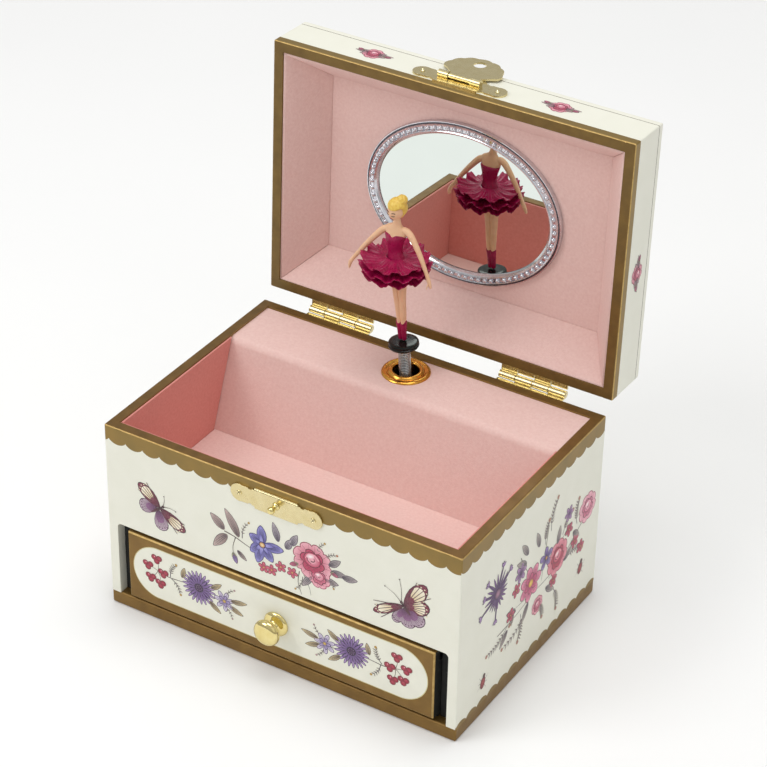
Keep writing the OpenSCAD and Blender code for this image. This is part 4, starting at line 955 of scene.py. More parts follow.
    def small_rose(self, at: Point, size: float) -> None:
        """The lid's little rose with a few leaves and buds."""
        x, y = at
        for turn, reach in ((172, 1.0), (8, 1.05), (205, 0.7), (-24, 0.75), (150, 0.75), (32, 0.7)):
            up = size * reach * 0.6 * math.sin(math.radians(turn))
            out = size * reach * math.cos(math.radians(turn))
            self.leaf((x + 0.25 * out, y + 0.25 * up), (x + out, y + up), size * 0.26, "#8E6C74", "#C8A4A4")
        self.rose((x, y), size * 0.95, "#8E1840", "#ECA6B4", "#C04868")
        self.bud((x - size * 0.55, y + size * 0.1), 165, size * 0.4)
        self.bud((x + size * 0.55, y - size * 0.02), 5, size * 0.4)


@dataclass
class Decoration:
    """All the printed decoration, face by face."""

    wall_x: float = 80.0
    wall_y: float = 55.5
    drawer_y: float = 56.4
    lid_top_z: float = 108.5
    top_shift: Point = (-2.0, -56.0)
    panel_lift: float = 0.07
    rose_mm: float = 8.0
    beetle_mm: float = 5.6

    def build(self) -> None:
        """Prints every face."""
        front = Florist(Face.FRONT, self.wall_y)
        front.bouquet()
        front.butterfly((-53.0, 57.2), (-58.0, 53.2), ((-64.0, 64.6, 7.8), (-43.2, 48.6, 7.4)),
                        ((-64.2, 54.4, 7.4), (-53.4, 45.8, 7.6)), ((-52.4, 62.3), (-47.0, 57.2)))
        front.butterfly((55.0, 56.2), (58.6, 52.2), ((65.8, 67.2, 9.0), (67.0, 57.6, 9.6), (42.8, 48.0, 5.6)),
                        ((64.6, 49.2, 8.0), (58.6, 45.8, 7.6), (52.0, 46.4, 5.0)),
                        ((47.8, 60.9), (54.0, 66.4)))
        front.done("front_print", "case")
        for face, name in ((Face.RIGHT, "right_print"), (Face.LEFT, "left_print")):
            side = Florist(face, self.wall_x)
            side.side_bouquet()
            side.beetle((41.3, 21.0), 75, self.beetle_mm)
            side.beetle((-36.0, 15.6), 75, self.beetle_mm)
            side.done(name, "case")
        back = Florist(Face.BACK, self.wall_y)
        back.butterfly((46.0, 57.2), (41.3, 53.6), ((35.4, 64.2, 7.6), (55.6, 49.0, 7.4)),
                       ((35.4, 54.4, 7.4), (45.4, 46.4, 7.4)), ((46.6, 62.3), (52.0, 57.2)))
        back.small_rose((-45.0, 52.0), self.rose_mm)
        back.done("back_print", "case")
        lid = Florist(Face.FRONT, self.wall_y, lid=True)
        lid.small_rose((-41.0, 97.6), self.rose_mm)
        lid.small_rose((42.0, 97.6), self.rose_mm)
        lid.done("lid_front_print", "lid")
        for face, name in ((Face.RIGHT, "lid_right_print"), (Face.LEFT, "lid_left_print")):
            side = Florist(face, self.wall_x, lid=True)
            side.small_rose((4.0 if face is Face.RIGHT else -4.0, 97.4), self.rose_mm)
            side.done(name, "lid")
        top = Florist(Face.TOP, self.lid_top_z, lid=True, shift=self.top_shift)
        top.bouquet()
        top.done("lid_top_print", "lid")
        drawer = Florist(Face.FRONT, self.drawer_y, lift_mm=self.panel_lift)
        drawer.drawer_spray(False)
        drawer.drawer_spray(True)
        drawer.done("drawer_print", "drawer")


# ---------------------------------------------------------------- Boards


@dataclass
class Boards:
    """The paper-wrapped boards of the box, the lid and the drawer front."""

    half_w: float = 80.0
    half_d: float = 55.5
    edge_mm: float = 0.55
    foot_edge_mm: float = 0.9
    drawer_edge_mm: float = 0.8
    near_mm: float = 0.02
    lid_h: float = 22.5
    # The drawer panel's half width and half height, and how far it sits above the front's middle.
    panel: tuple[float, float, float] = (67.6, 11.9, 0.85)
    walls: tuple[str, ...] = ("wall_left", "wall_right", "wall_back", "front_panel")
    lid_walls: tuple[str, ...] = ("lid_wall_left", "lid_wall_right", "lid_wall_front", "lid_wall_back",
                                  "lid_top")

    def on_outside(self, edge: BMEdge, heights: Sequence[float]) -> bool:
        """Tells whether an edge lies where two outer faces of the whole box meet."""
        middle = (edge.verts[0].co + edge.verts[1].co) / 2 / MM
        planes = [abs(abs(middle.x) - self.half_w), abs(abs(middle.y) - self.half_d)]
        planes += [abs(middle.z - height) for height in heights]
        return sum(gap < self.near_mm for gap in planes) >= 2

    def build(self) -> None:
        """Builds every board."""
        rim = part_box("wall_left")[1].z / MM
        for node in self.walls:
            bm = node_mesh(node)
            round_edges(bm, self.edge_mm, lambda e: self.on_outside(e, (rim,)))
            self.colour_rim(bm, rim, 1.0)
            Piece(f"{node}_board", "case", "paper_board", (node,)).make(bm, CREAM_BODY, GOLD_RIM_SHADED, GOLD_PAINTED_HIGHLIGHT)
        bm = node_mesh("base_board")
        round_edges(bm, self.foot_edge_mm, lambda e: self.on_outside(e, (0.0,)) or (
            self.on_outside(e, (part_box("base_board")[1].z / MM,)) and e.verts[0].co.y < -0.05
            and e.verts[1].co.y < -0.05))
        Piece("base_strip_board", "case", "gold_board", ("base_board",)).make(bm, GOLD_BOARD)
        top = rim + self.lid_h
        for node in self.lid_walls:
            bm = node_mesh(node, closed=True)
            round_edges(bm, self.edge_mm, lambda e: self.on_outside(e, (rim, top)))
            self.colour_rim(bm, rim, -1.0)
            bmesh.ops.transform(bm, matrix=LID, verts=bm.verts)
            Piece(f"{node}_board", "lid", "paper_board", (node,)).make(bm, CREAM_LID, GOLD_LID_RIM_SHADED, GOLD_PAINTED_HIGHLIGHT)
        self.drawer_front()

    def colour_rim(self, bm: BMesh, rim: float, up: float) -> None:
        """Gives the rim's flat face a darker gold, painted shade, and its rounded outer edge a lighter gold, a
        painted highlight.
        """
        for face in bm.faces:
            height = face.calc_center_median().z / MM
            if abs(height - rim) < 0.3 and face.normal.z * up > 0.95:
                face.material_index = 1
            elif abs(height - rim) < 0.45 and 0.2 < face.normal.z * up <= 0.95:
                face.material_index = 2

    def drawer_front(self) -> None:
        """The drawer front with its soft edge, and the panel paper with its thin line."""
        low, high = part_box("drawer_front")
        bm = node_mesh("drawer_front")

        def on_front(edge: BMEdge) -> bool:
            """Tells whether an edge borders the front face, away from the screw hole."""
            middle = (edge.verts[0].co + edge.verts[1].co) / 2
            inside = abs(middle.x) < high.x - 0.001 and low.z + 0.001 < middle.z < high.z - 0.001
            return abs(middle.y - low.y) < 2e-5 and not inside

        round_edges(bm, self.drawer_edge_mm, on_front, 4)
        for face in bm.faces:
            # The front's rounded edge takes the lighter gold, a painted highlight.
            if -0.92 < face.normal.y < -0.3:
                face.material_index = 1
            elif abs(face.normal.x) > 0.9 or face.normal.y > 0.9:
                face.material_index = 2
        Piece("drawer_front_board", "drawer", "gold_board", ("drawer_front",)).make(bm, GOLD_BOARD, GOLD_PAINTED_HIGHLIGHT,
                                                                                  BLACK_BOARD)
        middle = (low + high) / 2
        for name, grow, out, finish in (("drawer_panel_line", 0.35, 0.02, PANEL_LINE),
                                        ("drawer_panel_paper", 0.0, 0.05, CREAM_PANEL)):
            bm = bmesh.new()
            wide, tall, raised = self.panel
            half_x, half_z = (wide + grow) * MM, (tall + grow) * MM
            made = bmesh.ops.create_circle(bm, cap_ends=True, segments=96, radius=half_z)
            for vert in made["verts"]:
                vert.co.x += math.copysign(half_x - half_z, vert.co.x)
                vert.co = Vector((vert.co.x, low.y - out * MM, middle.z + raised * MM + vert.co.y))
            bmesh.ops.recalc_face_normals(bm, faces=bm.faces)
            bmesh.ops.reverse_faces(bm, faces=[f for f in bm.faces if f.normal.y > 0])
            Piece(name, "drawer", "paper_board", smooth_deg=None).make(bm, finish)


# ---------------------------------------------------------------- Lining and mirror


@dataclass
class Lining:
    """The flocked lining of the compartment, the platform and the lid."""

    soft_mm: float = 0.35
    flocked: tuple[str, ...] = ("compartment_floor", "lining_front", "lining_left", "lining_right",
                                "platform_cover", "drawer_lining", "lid_lining_panel", "lid_lining_slopes")
    painted_shade_walls: tuple[str, ...] = ("lining_front", "lining_left", "lining_right")

    def build(self) -> None:
        """Covers each packed lining part with flock, its edges slightly soft."""
        for node in self.flocked:
            bm = node_mesh(node)
            round_edges(bm, self.soft_mm, lambda e: e.calc_length() > 0.006, 2)
            # The walls take the deeper red copy of the flock: painted shade.
            finish = FLOCK_SHADED if node in self.painted_shade_walls else FLOCK
            Piece(f"{node}_flock", body_of_node(node), "flock", (node,), smooth_deg=50.0).make(bm, finish)


@dataclass
class Mirror:
    """The oval mirror: flat silvered glass in a beaded, metallised bezel."""

    wide: float = 89.0
    high: float = 69.0
    sunk_mm: float = 0.05
    # Where the beads' middles lie, in from the bezel's edge and out from its foot.
    channel: tuple[float, float] = (2.75, 2.25)
    bead_pitch: float = 3.0
    bead_mm: float = 2.0
    steps: int = 96
    profile: tuple[tuple[float, float, int], ...] = (
        (0.0, 0.0, 0), (0.0, 1.5, 0), (0.25, 2.0, 0), (0.55, 2.0, 1), (0.8, 1.7, 1), (1.0, 1.7, 1),
        (1.15, 2.3, 0),
        (1.5, 2.75, 0), (1.9, 2.6, 0), (2.15, 2.2, 0), (3.35, 2.2, 0), (3.6, 2.65, 0), (4.1, 3.0, 0),
        (4.6, 2.85, 0),
        (5.1, 2.2, 0), (5.5, 1.4, 0))

    def build(self) -> None:
        """Builds the bezel in the closed lid, then stands it open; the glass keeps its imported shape."""
        lining = min((LID.inverted() @ v.co).z for v in frame["nodes"]["lid_lining_panel"].data.vertices) / MM
        foot = lining - self.sunk_mm
        bm = bmesh.new()
        first = 10.0
        lathe(bm, [(first + k, 0.0) for k in range(len(self.profile))], self.steps, Matrix.Identity(4))
        for face in bm.faces:
            k = int(face.calc_center_median().length / MM - first)
            face.material_index = self.profile[k][2] and self.profile[k + 1][2]
        for vert in bm.verts:
            inset, out, _ = self.profile[round(vert.co.length / MM - first)]
            turn = math.atan2(vert.co.y, vert.co.x)
            vert.co = Vector(((self.wide / 2 - inset) * math.cos(turn),
                              (self.high / 2 - inset) * math.sin(turn),
                              foot - out)) * MM
        bm.normal_update()
        if sum(f.normal.z for f in bm.faces) > 0:
            bmesh.ops.reverse_faces(bm, faces=bm.faces)
        self.beads(bm, foot - self.channel[1])
        bmesh.ops.transform(bm, matrix=LID, verts=bm.verts)
        Piece("mirror_bezel_beaded", "lid", "silvered_plastic", ("mirror_bezel",)).make(bm, SILVERED,
                                                                                        SILVERED_LINE)
        dress_node("mirror_glass", MIRROR)

    def beads(self, bm: BMesh, z: float) -> None:
        """Sets half-sunk beads evenly round the channel of the bezel."""
        a, b = self.wide / 2 - self.channel[0], self.high / 2 - self.channel[0]
        fine = [(a * math.cos(math.tau * k / 720), b * math.sin(math.tau * k / 720)) for k in range(721)]
        lengths = [0.0]
        for first, second in zip(fine, fine[1:]):
            lengths.append(lengths[-1] + math.dist(first, second))
        count, k = round(lengths[-1] / self.bead_pitch), 0
        for bead in range(count):
            while lengths[k] < lengths[-1] * bead / count:
                k += 1
            bmesh.ops.create_icosphere(bm, subdivisions=2, radius=self.bead_mm / 2 * MM,
                                       matrix=Matrix.Translation((fine[k][0] * MM, fine[k][1] * MM, z * MM)))


# ---------------------------------------------------------------- Brass fittings


@dataclass
class Fittings:
    """Catch, hasp, hinges, nails, knob and the eyelet round the spindle."""

    edge_mm: float = 0.14
    stamped: tuple[str, ...] = ("catch_plate", "hasp_plate", "hasp_leaf", "hinge_body_leaves",
                                "hinge_lid_leaves")
    knob: tuple[Point, ...] = (
        (0.0, 0.0), (0.88, 0.0), (0.96, 0.03), (0.94, 0.1), (0.78, 0.17), (0.5, 0.22), (0.38, 0.29),
        (0.36, 0.4),
        (0.44, 0.49), (0.78, 0.55), (0.95, 0.61), (1.0, 0.69), (0.98, 0.78), (0.9, 0.87), (0.72, 0.94),
        (0.4, 0.985),
        (0.0, 1.0))
    stud: tuple[Point, ...] = (
        (0.0, -2.6), (0.8, -2.6), (0.8, 0.0), (1.6, 0.02), (1.7, 0.2), (1.5, 0.55), (0.95, 0.85), (0.85, 1.5),
        (0.95, 2.05), (1.35, 2.45), (1.55, 3.05), (1.5, 3.75), (1.15, 4.3), (0.6, 4.55), (0.0, 4.6))
    eyelet: tuple[Point, ...] = (
        (5.3, -2.9), (5.3, 0.7), (5.45, 1.15), (5.85, 1.5), (6.4, 1.58), (6.95, 1.35), (7.25, 0.9),
        (7.45, 0.62),
        (7.8, 0.66), (8.4, 0.98), (9.0, 1.0), (9.6, 0.72), (9.95, 0.3), (10.0, 0.05), (7.0, 0.05),
        (6.85, -2.9),
        (5.3, -2.9))
    nail: tuple[Point, ...] = (
        (0.0, 0.12), (0.28, 0.16), (0.42, 0.36), (0.62, 0.5), (0.88, 0.44), (1.08, 0.24), (1.15, 0.0),
        (0.0, 0.0))
    nail_head: float = 0.5
    dimple_r: float = 0.34

    def build(self) -> None:
        """Builds every fitting."""
        for node in self.stamped:
            bm = node_mesh(node)
            round_edges(bm, self.edge_mm, lambda e: True, 2)
            Piece(f"{node}_brass", body_of_node(node), "brass", (node,)).make(bm, BRASS)
        for node in ("hinge_pins", "hasp_pin"):
            Piece(f"{node}_turned", body_of_node(node), "brass", (node,)).make(node_mesh(node), BRASS_ROLLED)
        self.nails("brass_nails", False)
        self.nails("lid_nails", True)
        self.turned_parts()

    def turned_parts(self) -> None:
        """The knob, the catch's stud and the eyelet, each lathed about its own axis."""
        low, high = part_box("drawer_knob")
        middle = box_middle("drawer_knob")
        wide, long = (high.x - low.x) / 2 / MM, (high.y - low.y) / MM
        bm = bmesh.new()
        lathe(bm, [(r * wide, h * long) for r, h in self.knob], 32,
              Matrix.Translation((middle.x, high.y, middle.z)) @ turned(90, "X"))
        Piece("turned_knob", "drawer", "gilt", ("drawer_knob",), subdivide=2).make(bm, KNOB_BRASS)
        middle = box_middle("catch_stud")
        bm = bmesh.new()
        lathe(bm, self.stud, 24, Matrix.Translation((middle.x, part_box("catch_plate")[0].y,
                                                     middle.z)) @ turned(90, "X"))
        Piece("turned_catch_stud", "case", "brass", ("catch_stud",), subdivide=1).make(bm, KNOB_BRASS)
        middle = box_middle("eyelet")
        bm = bmesh.new()
        lathe(bm, self.eyelet, 64, Matrix.Translation((middle.x, middle.y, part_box("platform_cover")[1].z)))
        Piece("gilt_eyelet", "case", "gilt", ("eyelet",), smooth_deg=60.0).make(bm, GILT)

    def nails(self, node: str, closed: bool) -> None:
        """Gives each nail a domed head with a dark dimple, on its packed shank."""
        bm = node_mesh(node, closed)
        for group in shells(bm):
            spots = [v.co for v in group]
            low = Vector([min(c[k] for c in spots) for k in range(3)])
            high = Vector([max(c[k] for c in spots) for k in range(3)])
            outward = -1.0 if (low.y + high.y) < 0 else 1.0
            seat = (low.y if outward < 0 else high.y) - outward * self.nail_head * MM
            heads = [v for v in group if (v.co.y - seat) * outward > -1e-6]
            bmesh.ops.delete(bm, geom=heads, context="VERTS")
            place = Matrix.Translation(((low.x + high.x) / 2, seat, (low.z + high.z) / 2))
            old = set(bm.faces)
            lathe(bm, self.nail, 20, place @ turned(-90 * outward, "X"))
            for face in set(bm.faces) - old:
                middle = face.calc_center_median()
                reach = math.hypot(middle.x - (low.x + high.x) / 2, middle.z - (low.z + high.z) / 2)
                if reach < self.dimple_r * MM and (middle.y - seat) * outward > 1e-6:
                    face.material_index = 1
        if closed:
            bmesh.ops.transform(bm, matrix=LID, verts=bm.verts)
        Piece(f"{node}_domed", body_of_node(node), "brass", (node,)).make(bm, BRASS_ROLLED, DARK_BRASS)


# ---------------------------------------------------------------- Dancer


@dataclass
class Dancer:
    """The dancer on her disc and coil spring, leaning a little to the left."""

    lean_deg: float = 4.5
    spring_r: float = 2.5
    wire: float = 0.7
    spring_l: float = 16.7
    disc: tuple[Point, ...] = (
        (0.0, 0.1), (5.3, 0.1), (5.9, 0.25), (6.2, 0.7), (6.25, 1.1), (5.9, 1.35), (5.9, 1.6), (6.15, 1.8),
        (6.15, 2.3), (5.9, 2.75), (5.2, 3.0), (4.0, 3.02), (0.0, 3.02))
    skirt_layers: tuple[tuple[float, float, float, int, float, float, float], ...] = (
        (3.4, 13.4, 136.9, 11, 0.4, 0.4, 1.15), (3.6, 14.2, 135.6, 12, 1.3, 2.2, 1.25),
        (3.6, 13.2, 134.2, 11, 2.2, 4.0, 1.1))
    hub: tuple[Point, ...] = ((0.0, -1.6), (1.3, -1.6), (1.3, 0.15), (0.0, 0.15))
    waist: Point = (-8.4, 40.8)
    foot_z: float = 80.0
    skull: tuple[float, float, float] = (3.35, 3.7, 4.5)
    bend_mm: Point = (8.0, 16.4)
    leg: tuple[tuple[float, ...], ...] = (
        (-7.0, 1.5, 0.0, 131.0, 2.1, 2.1), (-6.6, 1.45, 0.0, 126.5, 2.0, 2.1),
        (-5.9, 1.15, -0.2, 118.6, 1.5, 1.6),
        (-5.6, 1.05, 0.0, 114.8, 1.4, 1.55), (-5.2, 0.95, 0.2, 110.6, 1.25, 1.4),
        (-4.7, 0.85, 0.0, 105.6, 0.95, 1.05),
        (-4.3, 0.8, -0.2, 101.6, 0.8, 0.85), (-4.2, 0.8, -0.2, 100.4, 0.6, 0.7))
    slipper: tuple[tuple[float, ...], ...] = (
        (-5.1, 0.93, 0.15, 109.6, 1.36, 1.5), (-5.0, 0.91, 0.15, 108.6, 1.36, 1.5),
        (-4.75, 0.87, 0.0, 105.8, 1.18, 1.3),
        (-4.35, 0.8, -0.2, 102.0, 1.05, 1.12), (-4.2, 0.8, -0.2, 100.7, 1.0, 1.05),
        (-4.15, 0.8, -0.2, 99.9, 0.75, 0.85))
    trunk: tuple[tuple[float, ...], ...] = (
        (-7.2, 0.0, 130.6, 3.4, 2.6), (-7.6, 0.0, 133.6, 3.6, 2.9), (-8.4, 0.0, 138.6, 2.6, 2.2),
        (-8.6, -0.1, 142.4, 3.1, 2.4), (-8.5, -0.2, 145.6, 3.9, 2.7), (-8.3, 0.0, 148.0, 4.9, 2.2),
        (-8.1, 0.0, 149.6, 4.6, 1.9), (-8.0, 0.0, 150.6, 2.4, 1.6), (-7.9, -0.1, 151.8, 1.45, 1.4),
        (-7.8, -0.3, 154.6, 1.35, 1.35))
    arms: tuple[tuple[tuple[float, ...], ...], ...] = (
        ((-10.4, 0.0, 148.3, 1.3), (-12.6, 0.0, 148.1, 1.55), (-14.4, 0.0, 146.9, 1.5),
         (-17.4, -0.4, 143.4, 1.32),
         (-20.8, -0.9, 139.2, 1.15), (-24.0, -1.4, 134.6, 1.0), (-26.4, -1.8, 131.2, 0.78),
         (-27.6, -2.0, 129.4, 0.95), (-28.2, -2.1, 127.6, 0.75), (-28.0, -2.1, 126.2, 0.42)),
        ((-6.0, 0.0, 149.3, 1.3), (-4.0, 0.0, 149.3, 1.55), (-2.2, 0.0, 148.6, 1.5), (0.0, -0.2, 145.6, 1.32),
         (2.6, -0.5, 141.6, 1.15), (4.8, -0.9, 137.4, 1.0), (6.8, -1.2, 133.2, 0.78),
         (7.7, -1.4, 131.2, 0.95), (8.5, -1.6, 129.4, 0.75), (8.9, -1.7, 128.2, 0.42)))
    bodice_rings: tuple[tuple[float, ...], ...] = (
        (-7.4, 0.0, 132.6, 4.4, 3.7), (-7.6, 0.0, 134.4, 4.5, 3.7), (-8.0, 0.0, 136.6, 3.7, 3.1),
        (-8.4, 0.0, 138.8, 2.95, 2.55), (-8.5, 0.0, 140.6, 3.05, 2.6), (-8.6, 0.0, 142.8, 3.5, 2.85),
        (-8.6, 0.0, 144.8, 4.15, 3.15), (-8.5, 0.0, 146.2, 4.5, 3.05), (-8.45, 0.0, 146.9, 4.55, 2.8))

    def build(self) -> None:
        """Builds the spring, the disc with its hub, and the figure."""
        spindle = box_middle("cylinder_spindle")
        self.stand = Matrix.Translation((spindle.x, spindle.y, self.foot_z * MM)) @ turned(-self.lean_deg,
                                                                                           "Y")
        self.spring()
        bm = bmesh.new()
        top = self.stand @ Matrix.Translation((0, 0, self.spring_l * MM))
        lathe(bm, self.disc, 64, top)
        lathe(bm, self.hub, 24, top)
        Piece("dancer_disc", "dancer", "black_plastic", ("figure_disc",)).make(bm, DISC_PLASTIC)
        self.body()
        self.head()
        self.bodice()
        self.skirt()

    def spring(self) -> None:
        """The close-wound coil between the box and the dancer."""
        bm = bmesh.new()
        pitch = self.wire * 1.05
        turns = math.floor((self.spring_l - self.wire) / pitch)
        sides, steps = 8, 20
        start = Matrix.Translation(((self.spring_r - self.wire / 2) * MM, 0, self.wire / 2 * MM))
        start @= turned(90, "X")
        made = bmesh.ops.create_circle(bm, segments=sides, radius=self.wire / 2 * MM, matrix=start)
        ring = made["verts"]
        edges = list({e for v in ring for e in v.link_edges})
        bmesh.ops.spin(bm, geom=ring + edges, cent=(0, 0, 0), axis=(0, 0, 1), dvec=(0, 0, pitch / steps * MM),
                       angle=math.tau * turns, steps=turns * steps, use_merge=False, use_duplicate=False)
        bmesh.ops.holes_fill(bm, edges=bm.edges, sides=sides)
        bmesh.ops.recalc_face_normals(bm, faces=bm.faces)
        bmesh.ops.transform(bm, matrix=self.stand, verts=bm.verts)
        coil = Piece("coil_spring", "", "steel", ("figure_spring",)).make(bm, SPRING_STEEL)
        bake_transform(coil)

    def limbs(self, bm: BMesh, rows: Sequence[Sequence[float]]) -> None:
        """A mirrored pair of lofts: x, spread sideways, y from the waist, z and half sizes of each ring."""
        for side in (-1, 1):
            loft(bm, [Ring(x + spread * side, self.waist[1] + y, z, wide, deep)
                      for x, spread, y, z, wide, deep in rows], 14)

    def rings(self, rows: Sequence[Sequence[float]]) -> list[Ring]:
        """Cross-sections whose y is measured from the waist."""
        return [Ring(x, self.waist[1] + y, z, wide, deep) for x, y, z, wide, deep in rows]

    def body(self) -> None:
        """Legs, trunk, neck and arms in one skin, with the thumbs, and the painted slippers."""
        bm = bmesh.new()
        self.limbs(bm, self.leg)
        loft(bm, self.rings(self.trunk), 20)
        for arm in self.arms:
            loft(bm, self.rings((x, y, z, r, r * 0.92) for x, y, z, r in arm), 12)
        for x, z, lean in ((-28.3, 128.0, -1), (8.3, 130.0, 1)):
            loft(bm, self.rings(((x - 0.3 * lean, -2.4, z + 0.6, 0.32, 0.3),
                                 (x - 0.5 * lean, -2.9, z - 0.8, 0.3, 0.28),
                                 (x - 0.6 * lean, -3.0, z - 1.8, 0.2, 0.2))), 8)
        Piece("dancer_figure", "dancer", "skin_plastic", ("figure_body",), subdivide=2).make(bm, SKIN)
        bm = bmesh.new()
        self.limbs(bm, self.slipper)
        instep = 108.2
        for vert in bm.verts:
            if vert.co.z > instep * MM:
                front = self.waist[1] - vert.co.y / MM
                vert.co.z -= (max(0.0, front) * 1.7 + max(0.0, -front) * 0.7) * MM
        Piece("dancer_slippers", "dancer", "dress_plastic", subdivide=2).make(bm, DRESS)

    def head(self) -> None:
        """Head, painted features and the hair in its bun."""
        place = (Matrix.Translation(Vector((-8.0, 40.2, 157.6)) * MM)
                 @ turned(-12, "Z") @ turned(14, "X") @ turned(6, "Y"))
        bm = bmesh.new()
        made = bmesh.ops.create_uvsphere(bm, u_segments=32, v_segments=20, radius=1.0)
        for vert in made["verts"]:
            x, y, z = vert.co
            chin = max(0.0, -z)
            nose = math.exp(-((x / 0.13) ** 2 + ((z + 0.12) / 0.2) ** 2)) if y < 0 else 0.0
            wide = self.skull[0] * (1 - 0.34 * chin ** 1.6)
            deep = self.skull[1] * (1 - 0.16 * chin)
            vert.co = Vector((x * wide, y * deep - 0.62 * nose - 0.25 * chin, z * self.skull[2])) * MM
        bmesh.ops.transform(bm, matrix=place, verts=bm.verts)
        Piece("dancer_head", "dancer", "skin_plastic", subdivide=1).make(bm, SKIN)
        bm = bmesh.new()
        made = bmesh.ops.create_uvsphere(bm, u_segments=40, v_segments=24, radius=1.0)
        for vert in made["verts"]:
            x, y, z = vert.co
            fringe = z - 0.34 - 0.25 * x * x if y < -0.15 else 1.0
            lock = 0.07 * math.sin(26 * math.atan2(x, -y + 0.2) + 5 * z)
            wide, deep, high = 4.05 + lock, 4.3 + lock, 4.75 + lock
            if fringe < 0:
                pull = min(1.0, -fringe * 6)
                wide, deep = wide - 1.1 * pull, deep - 1.6 * pull
            if z < -0.35:
                wide, deep = wide * 0.86, deep * 0.86
            vert.co = Vector((x * wide, y * deep + 0.45, z * high + 0.55)) * MM
        bun = bmesh.ops.create_uvsphere(bm, u_segments=28, v_segments=16, radius=1.0)
        for vert in bun["verts"]:
            x, y, z = vert.co
            swirl = 0.12 * math.sin(5 * math.atan2(x, y) + 9 * z)
            vert.co = Vector((x * (2.3 + swirl) + 1.2, y * (2.2 + swirl) + 2.4, z * (1.9 + swirl) + 4.3)) * MM
        bmesh.ops.transform(bm, matrix=place, verts=bm.verts)
        Piece("dancer_hair", "dancer", "skin_plastic", subdivide=1).make(bm, HAIR)
        self.features(place)

    def features(self, place: Matrix) -> None:
        """Brows, lowered lashes and mouth, painted as thin raised lines on the face."""
        def on_face(x: float, z: float, out: float = 0.06) -> Ring:
            """Point on the front of the head, in its own millimetres."""
            wide, deep, high = self.skull
            depth = deep * math.sqrt(max(0.05, 1 - (x / wide) ** 2 - (z / high) ** 2)) + out
            depth += 0.25 * max(0.0, -z / high)
            point = place @ (Vector((x, -depth, z)) * MM) / MM
            return Ring(point.x, point.y, point.z, 0.17, 0.17)

        bm = bmesh.new()
        for side in (-1, 1):
            loft(bm, [on_face(side * x, z) for x, z in ((0.65, -0.1), (1.05, -0.34), (1.5, -0.36),
                                                        (1.95, -0.1))], 8)
            loft(bm, [on_face(side * x, z) for x, z in ((0.6, 0.95), (1.1, 1.2), (1.6, 1.2), (2.1, 0.95))], 8)
        Piece("dancer_lashes", "dancer", "skin_plastic", subdivide=1).make(bm, LASH)
        bm = bmesh.new()
        loft(bm, [on_face(x, -2.05 + 0.14 * abs(x), 0.02) for x in (-0.7, -0.3, 0.0, 0.3, 0.7)], 8)
        Piece("dancer_lips", "dancer", "skin_plastic", subdivide=1).make(bm, LIP)

    def bodice(self) -> None:
        """The gathered bodice with its sweetheart neckline, and the smooth basque below it."""
        bm = bmesh.new()
        loft(bm, self.rings(self.bodice_rings), 48, level=True)
        for vert in bm.verts:
            x, back = vert.co.x / MM + 8.5, vert.co.y / MM - self.waist[1]
            turn = math.atan2(back, x)
            height = vert.co.z / MM
            gather = 0.09 * math.sin(22 * turn) if height > 138 else 0.0
            vert.co.x += gather * math.cos(turn) * MM
            vert.co.y += gather * math.sin(turn) * MM
            if height > 146.0:
                heart = 0.9 - 1.5 * math.exp(-(x / 1.1) ** 2) if back < 0 else -0.9
                vert.co.z += heart * (height - 145.8) * MM
        Piece("dancer_bodice", "dancer", "dress_plastic", subdivide=1).make(bm, DRESS)

    def skirt(self) -> None:
        """The tutu: three layers of petals, ruffled and pleated, in one moulding."""
        bm = bmesh.new()
        rings, sides = 9, 200
        for inner, outer, top, lobes, phase, drop, wave in self.skirt_layers:
            old = set(bm.verts)
            loops = []
            for k in range(rings + 1):
                made = bmesh.ops.create_circle(bm, segments=sides, radius=1.0 + k)
                loops.append(list({e for v in made["verts"] for e in v.link_edges}))
            for first, second in zip(loops, loops[1:]):
                bmesh.ops.bridge_loops(bm, edges=first + second)
            for vert in (v for v in bm.verts if v not in old):
                share = max(0.0, (math.hypot(vert.co.x, vert.co.y) - 1.0) / rings)
                turn = math.atan2(vert.co.y, vert.co.x)
                lobe = math.sin(lobes * turn + phase)
                pleat = math.sin(3 * lobes * turn + 2 * phase)
                reach = inner + (outer - inner) * share * (1 + 0.05 * lobe * share + 0.03 * pleat * share)
                lift = wave * lobe * share ** 1.6 + 0.42 * pleat * share
                height = top - drop * share ** 1.5 - 1.2 * math.sin(math.pi * share) + lift
                lean = -math.tan(math.radians(self.lean_deg)) * (height - top)
                vert.co = Vector((self.waist[0] + reach * math.cos(turn) + lean,
                                  self.waist[1] + reach * math.sin(turn), height)) * MM
        bmesh.ops.recalc_face_normals(bm, faces=bm.faces)
        bmesh.ops.solidify(bm, geom=bm.faces, thickness=0.35 * MM)
        Piece("dancer_skirt", "dancer", "dress_plastic", ("figure_skirt",), subdivide=1).make(bm, DRESS)


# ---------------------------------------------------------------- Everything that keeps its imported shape


@dataclass
class PackedParts:
    """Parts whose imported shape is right, and the finish each has."""

    finishes: tuple[tuple[Finish, tuple[str, ...]], ...] = (
        (BLACK_BOARD, ("bay_back_board", "drawer_guides", "shelf_board", "drawer_left", "drawer_right",
                       "drawer_back",
                       "drawer_bottom")),
        (CASTING, ("movement_bedplate", "governor_bracket", "barrel_bridge")),
        (STEEL, ("movement_comb", "cylinder_spindle", "winding_shaft", "knob_screw", "mounting_screws",
                 "governor_fan", "mainspring")),
        (BRASS_ROLLED, ("pin_cylinder", "spring_barrel", "governor_wheel", "comb_screws")),
        (KNOB_BRASS, ("winding_key",)))

    def build(self) -> None:
        """Dresses each part."""
        for finish, nodes in self.finishes:
            for node in nodes:
                dress_node(node, finish)
                LOG.info("%s: packed shape in %s", node, finish.name)


# ---------------------------------------------------------------- Studio


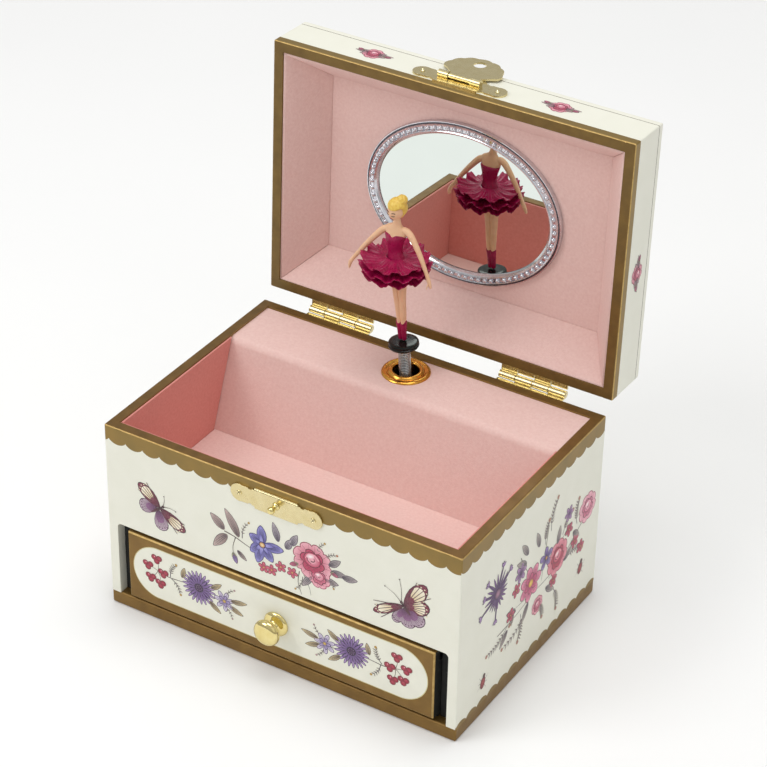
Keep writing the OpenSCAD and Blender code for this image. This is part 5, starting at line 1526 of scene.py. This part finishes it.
@dataclass
class Studio:
    """White sweep, soft light and the camera."""

    lens: float = 122.376
    place: tuple[float, float, float] = (0.442104, -0.712535, 0.648450)
    turn_deg: tuple[float, float, float] = (56.947, -0.919, 31.718)
    key_watts: float = 6.5
    fill_watts: float = 0.8
    top_watts: float = 8.0
    aim: tuple[float, float, float] = (0.0, 0.0, 0.09)
    sweep: float = 3.0
    sky: float = 0.62

    def camera(self) -> None:
        """Camera that looks down on the box from its front right."""
        data = bpy.data.cameras.new("camera")
        data.lens, data.sensor_width = self.lens, 36.0
        thing = placed("camera", data)
        thing.location = self.place
        thing.rotation_euler = [math.radians(a) for a in self.turn_deg]
        bpy.context.scene.camera = thing

    def light(self, name: str, at: Sequence[float], size: float, watts: float) -> None:
        """A square soft box that faces the box."""
        data = bpy.data.lights.new(name, "AREA")
        data.shape, data.size, data.energy = "SQUARE", size, watts
        thing = placed(name, data)
        thing.location = at
        thing.rotation_euler = (Vector(self.aim) - Vector(at)).to_track_quat("-Z", "Y").to_euler()

    def build(self) -> None:
        """Builds the sweep, the lights and the surrounding white."""
        bm = bmesh.new()
        bmesh.ops.create_grid(bm, x_segments=8, y_segments=8, size=self.sweep)
        mesh = bpy.data.meshes.new("white_sweep")
        bm.to_mesh(mesh)
        bm.free()
        mesh.materials.append(FLOOR.material())
        placed("white_sweep", mesh)
        self.light("key_softbox", (-0.75, -0.95, 1.15), 0.7, self.key_watts)
        self.light("fill_softbox", (1.2, -0.7, 0.9), 1.0, self.fill_watts)
        self.light("top_softbox", (0.1, 0.05, 1.6), 0.9, self.top_watts)
        world = bpy.data.worlds.new("studio")
        world.use_nodes = True
        tree = world.node_tree
        tree.nodes.clear()
        up = add(tree, "ShaderNodeSeparateXYZ",
                 {0: add(tree, "ShaderNodeTexCoord").outputs["Generated"]}).outputs[2]
        ramp = add(tree, "ShaderNodeMapRange", {"Value": up, "From Min": -0.1, "From Max": 0.9,
                                                "To Min": 0.65,
                                                "To Max": 1.1})
        sky = add(tree, "ShaderNodeBackground", {"Strength": self.sky})
        tree.links.new(ramp.outputs["Result"], sky.inputs["Color"])
        add(tree, "ShaderNodeOutputWorld", {"Surface": sky.outputs[0]})
        bpy.context.scene.world = world
        bpy.context.scene.view_settings.view_transform = "Standard"
        bpy.context.scene.view_settings.look = "None"


def main() -> None:
    """Builds the box in order, logging each piece as it goes."""
    logging.basicConfig(level=logging.INFO, format="%(name)s: %(message)s")
    studio = Studio()
    studio.camera()
    PackedParts().build()
    Boards().build()
    Lining().build()
    Mirror().build()
    Fittings().build()
    Dancer().build()
    Decoration().build()
    studio.build()


if __name__ == "__main__":
    main()
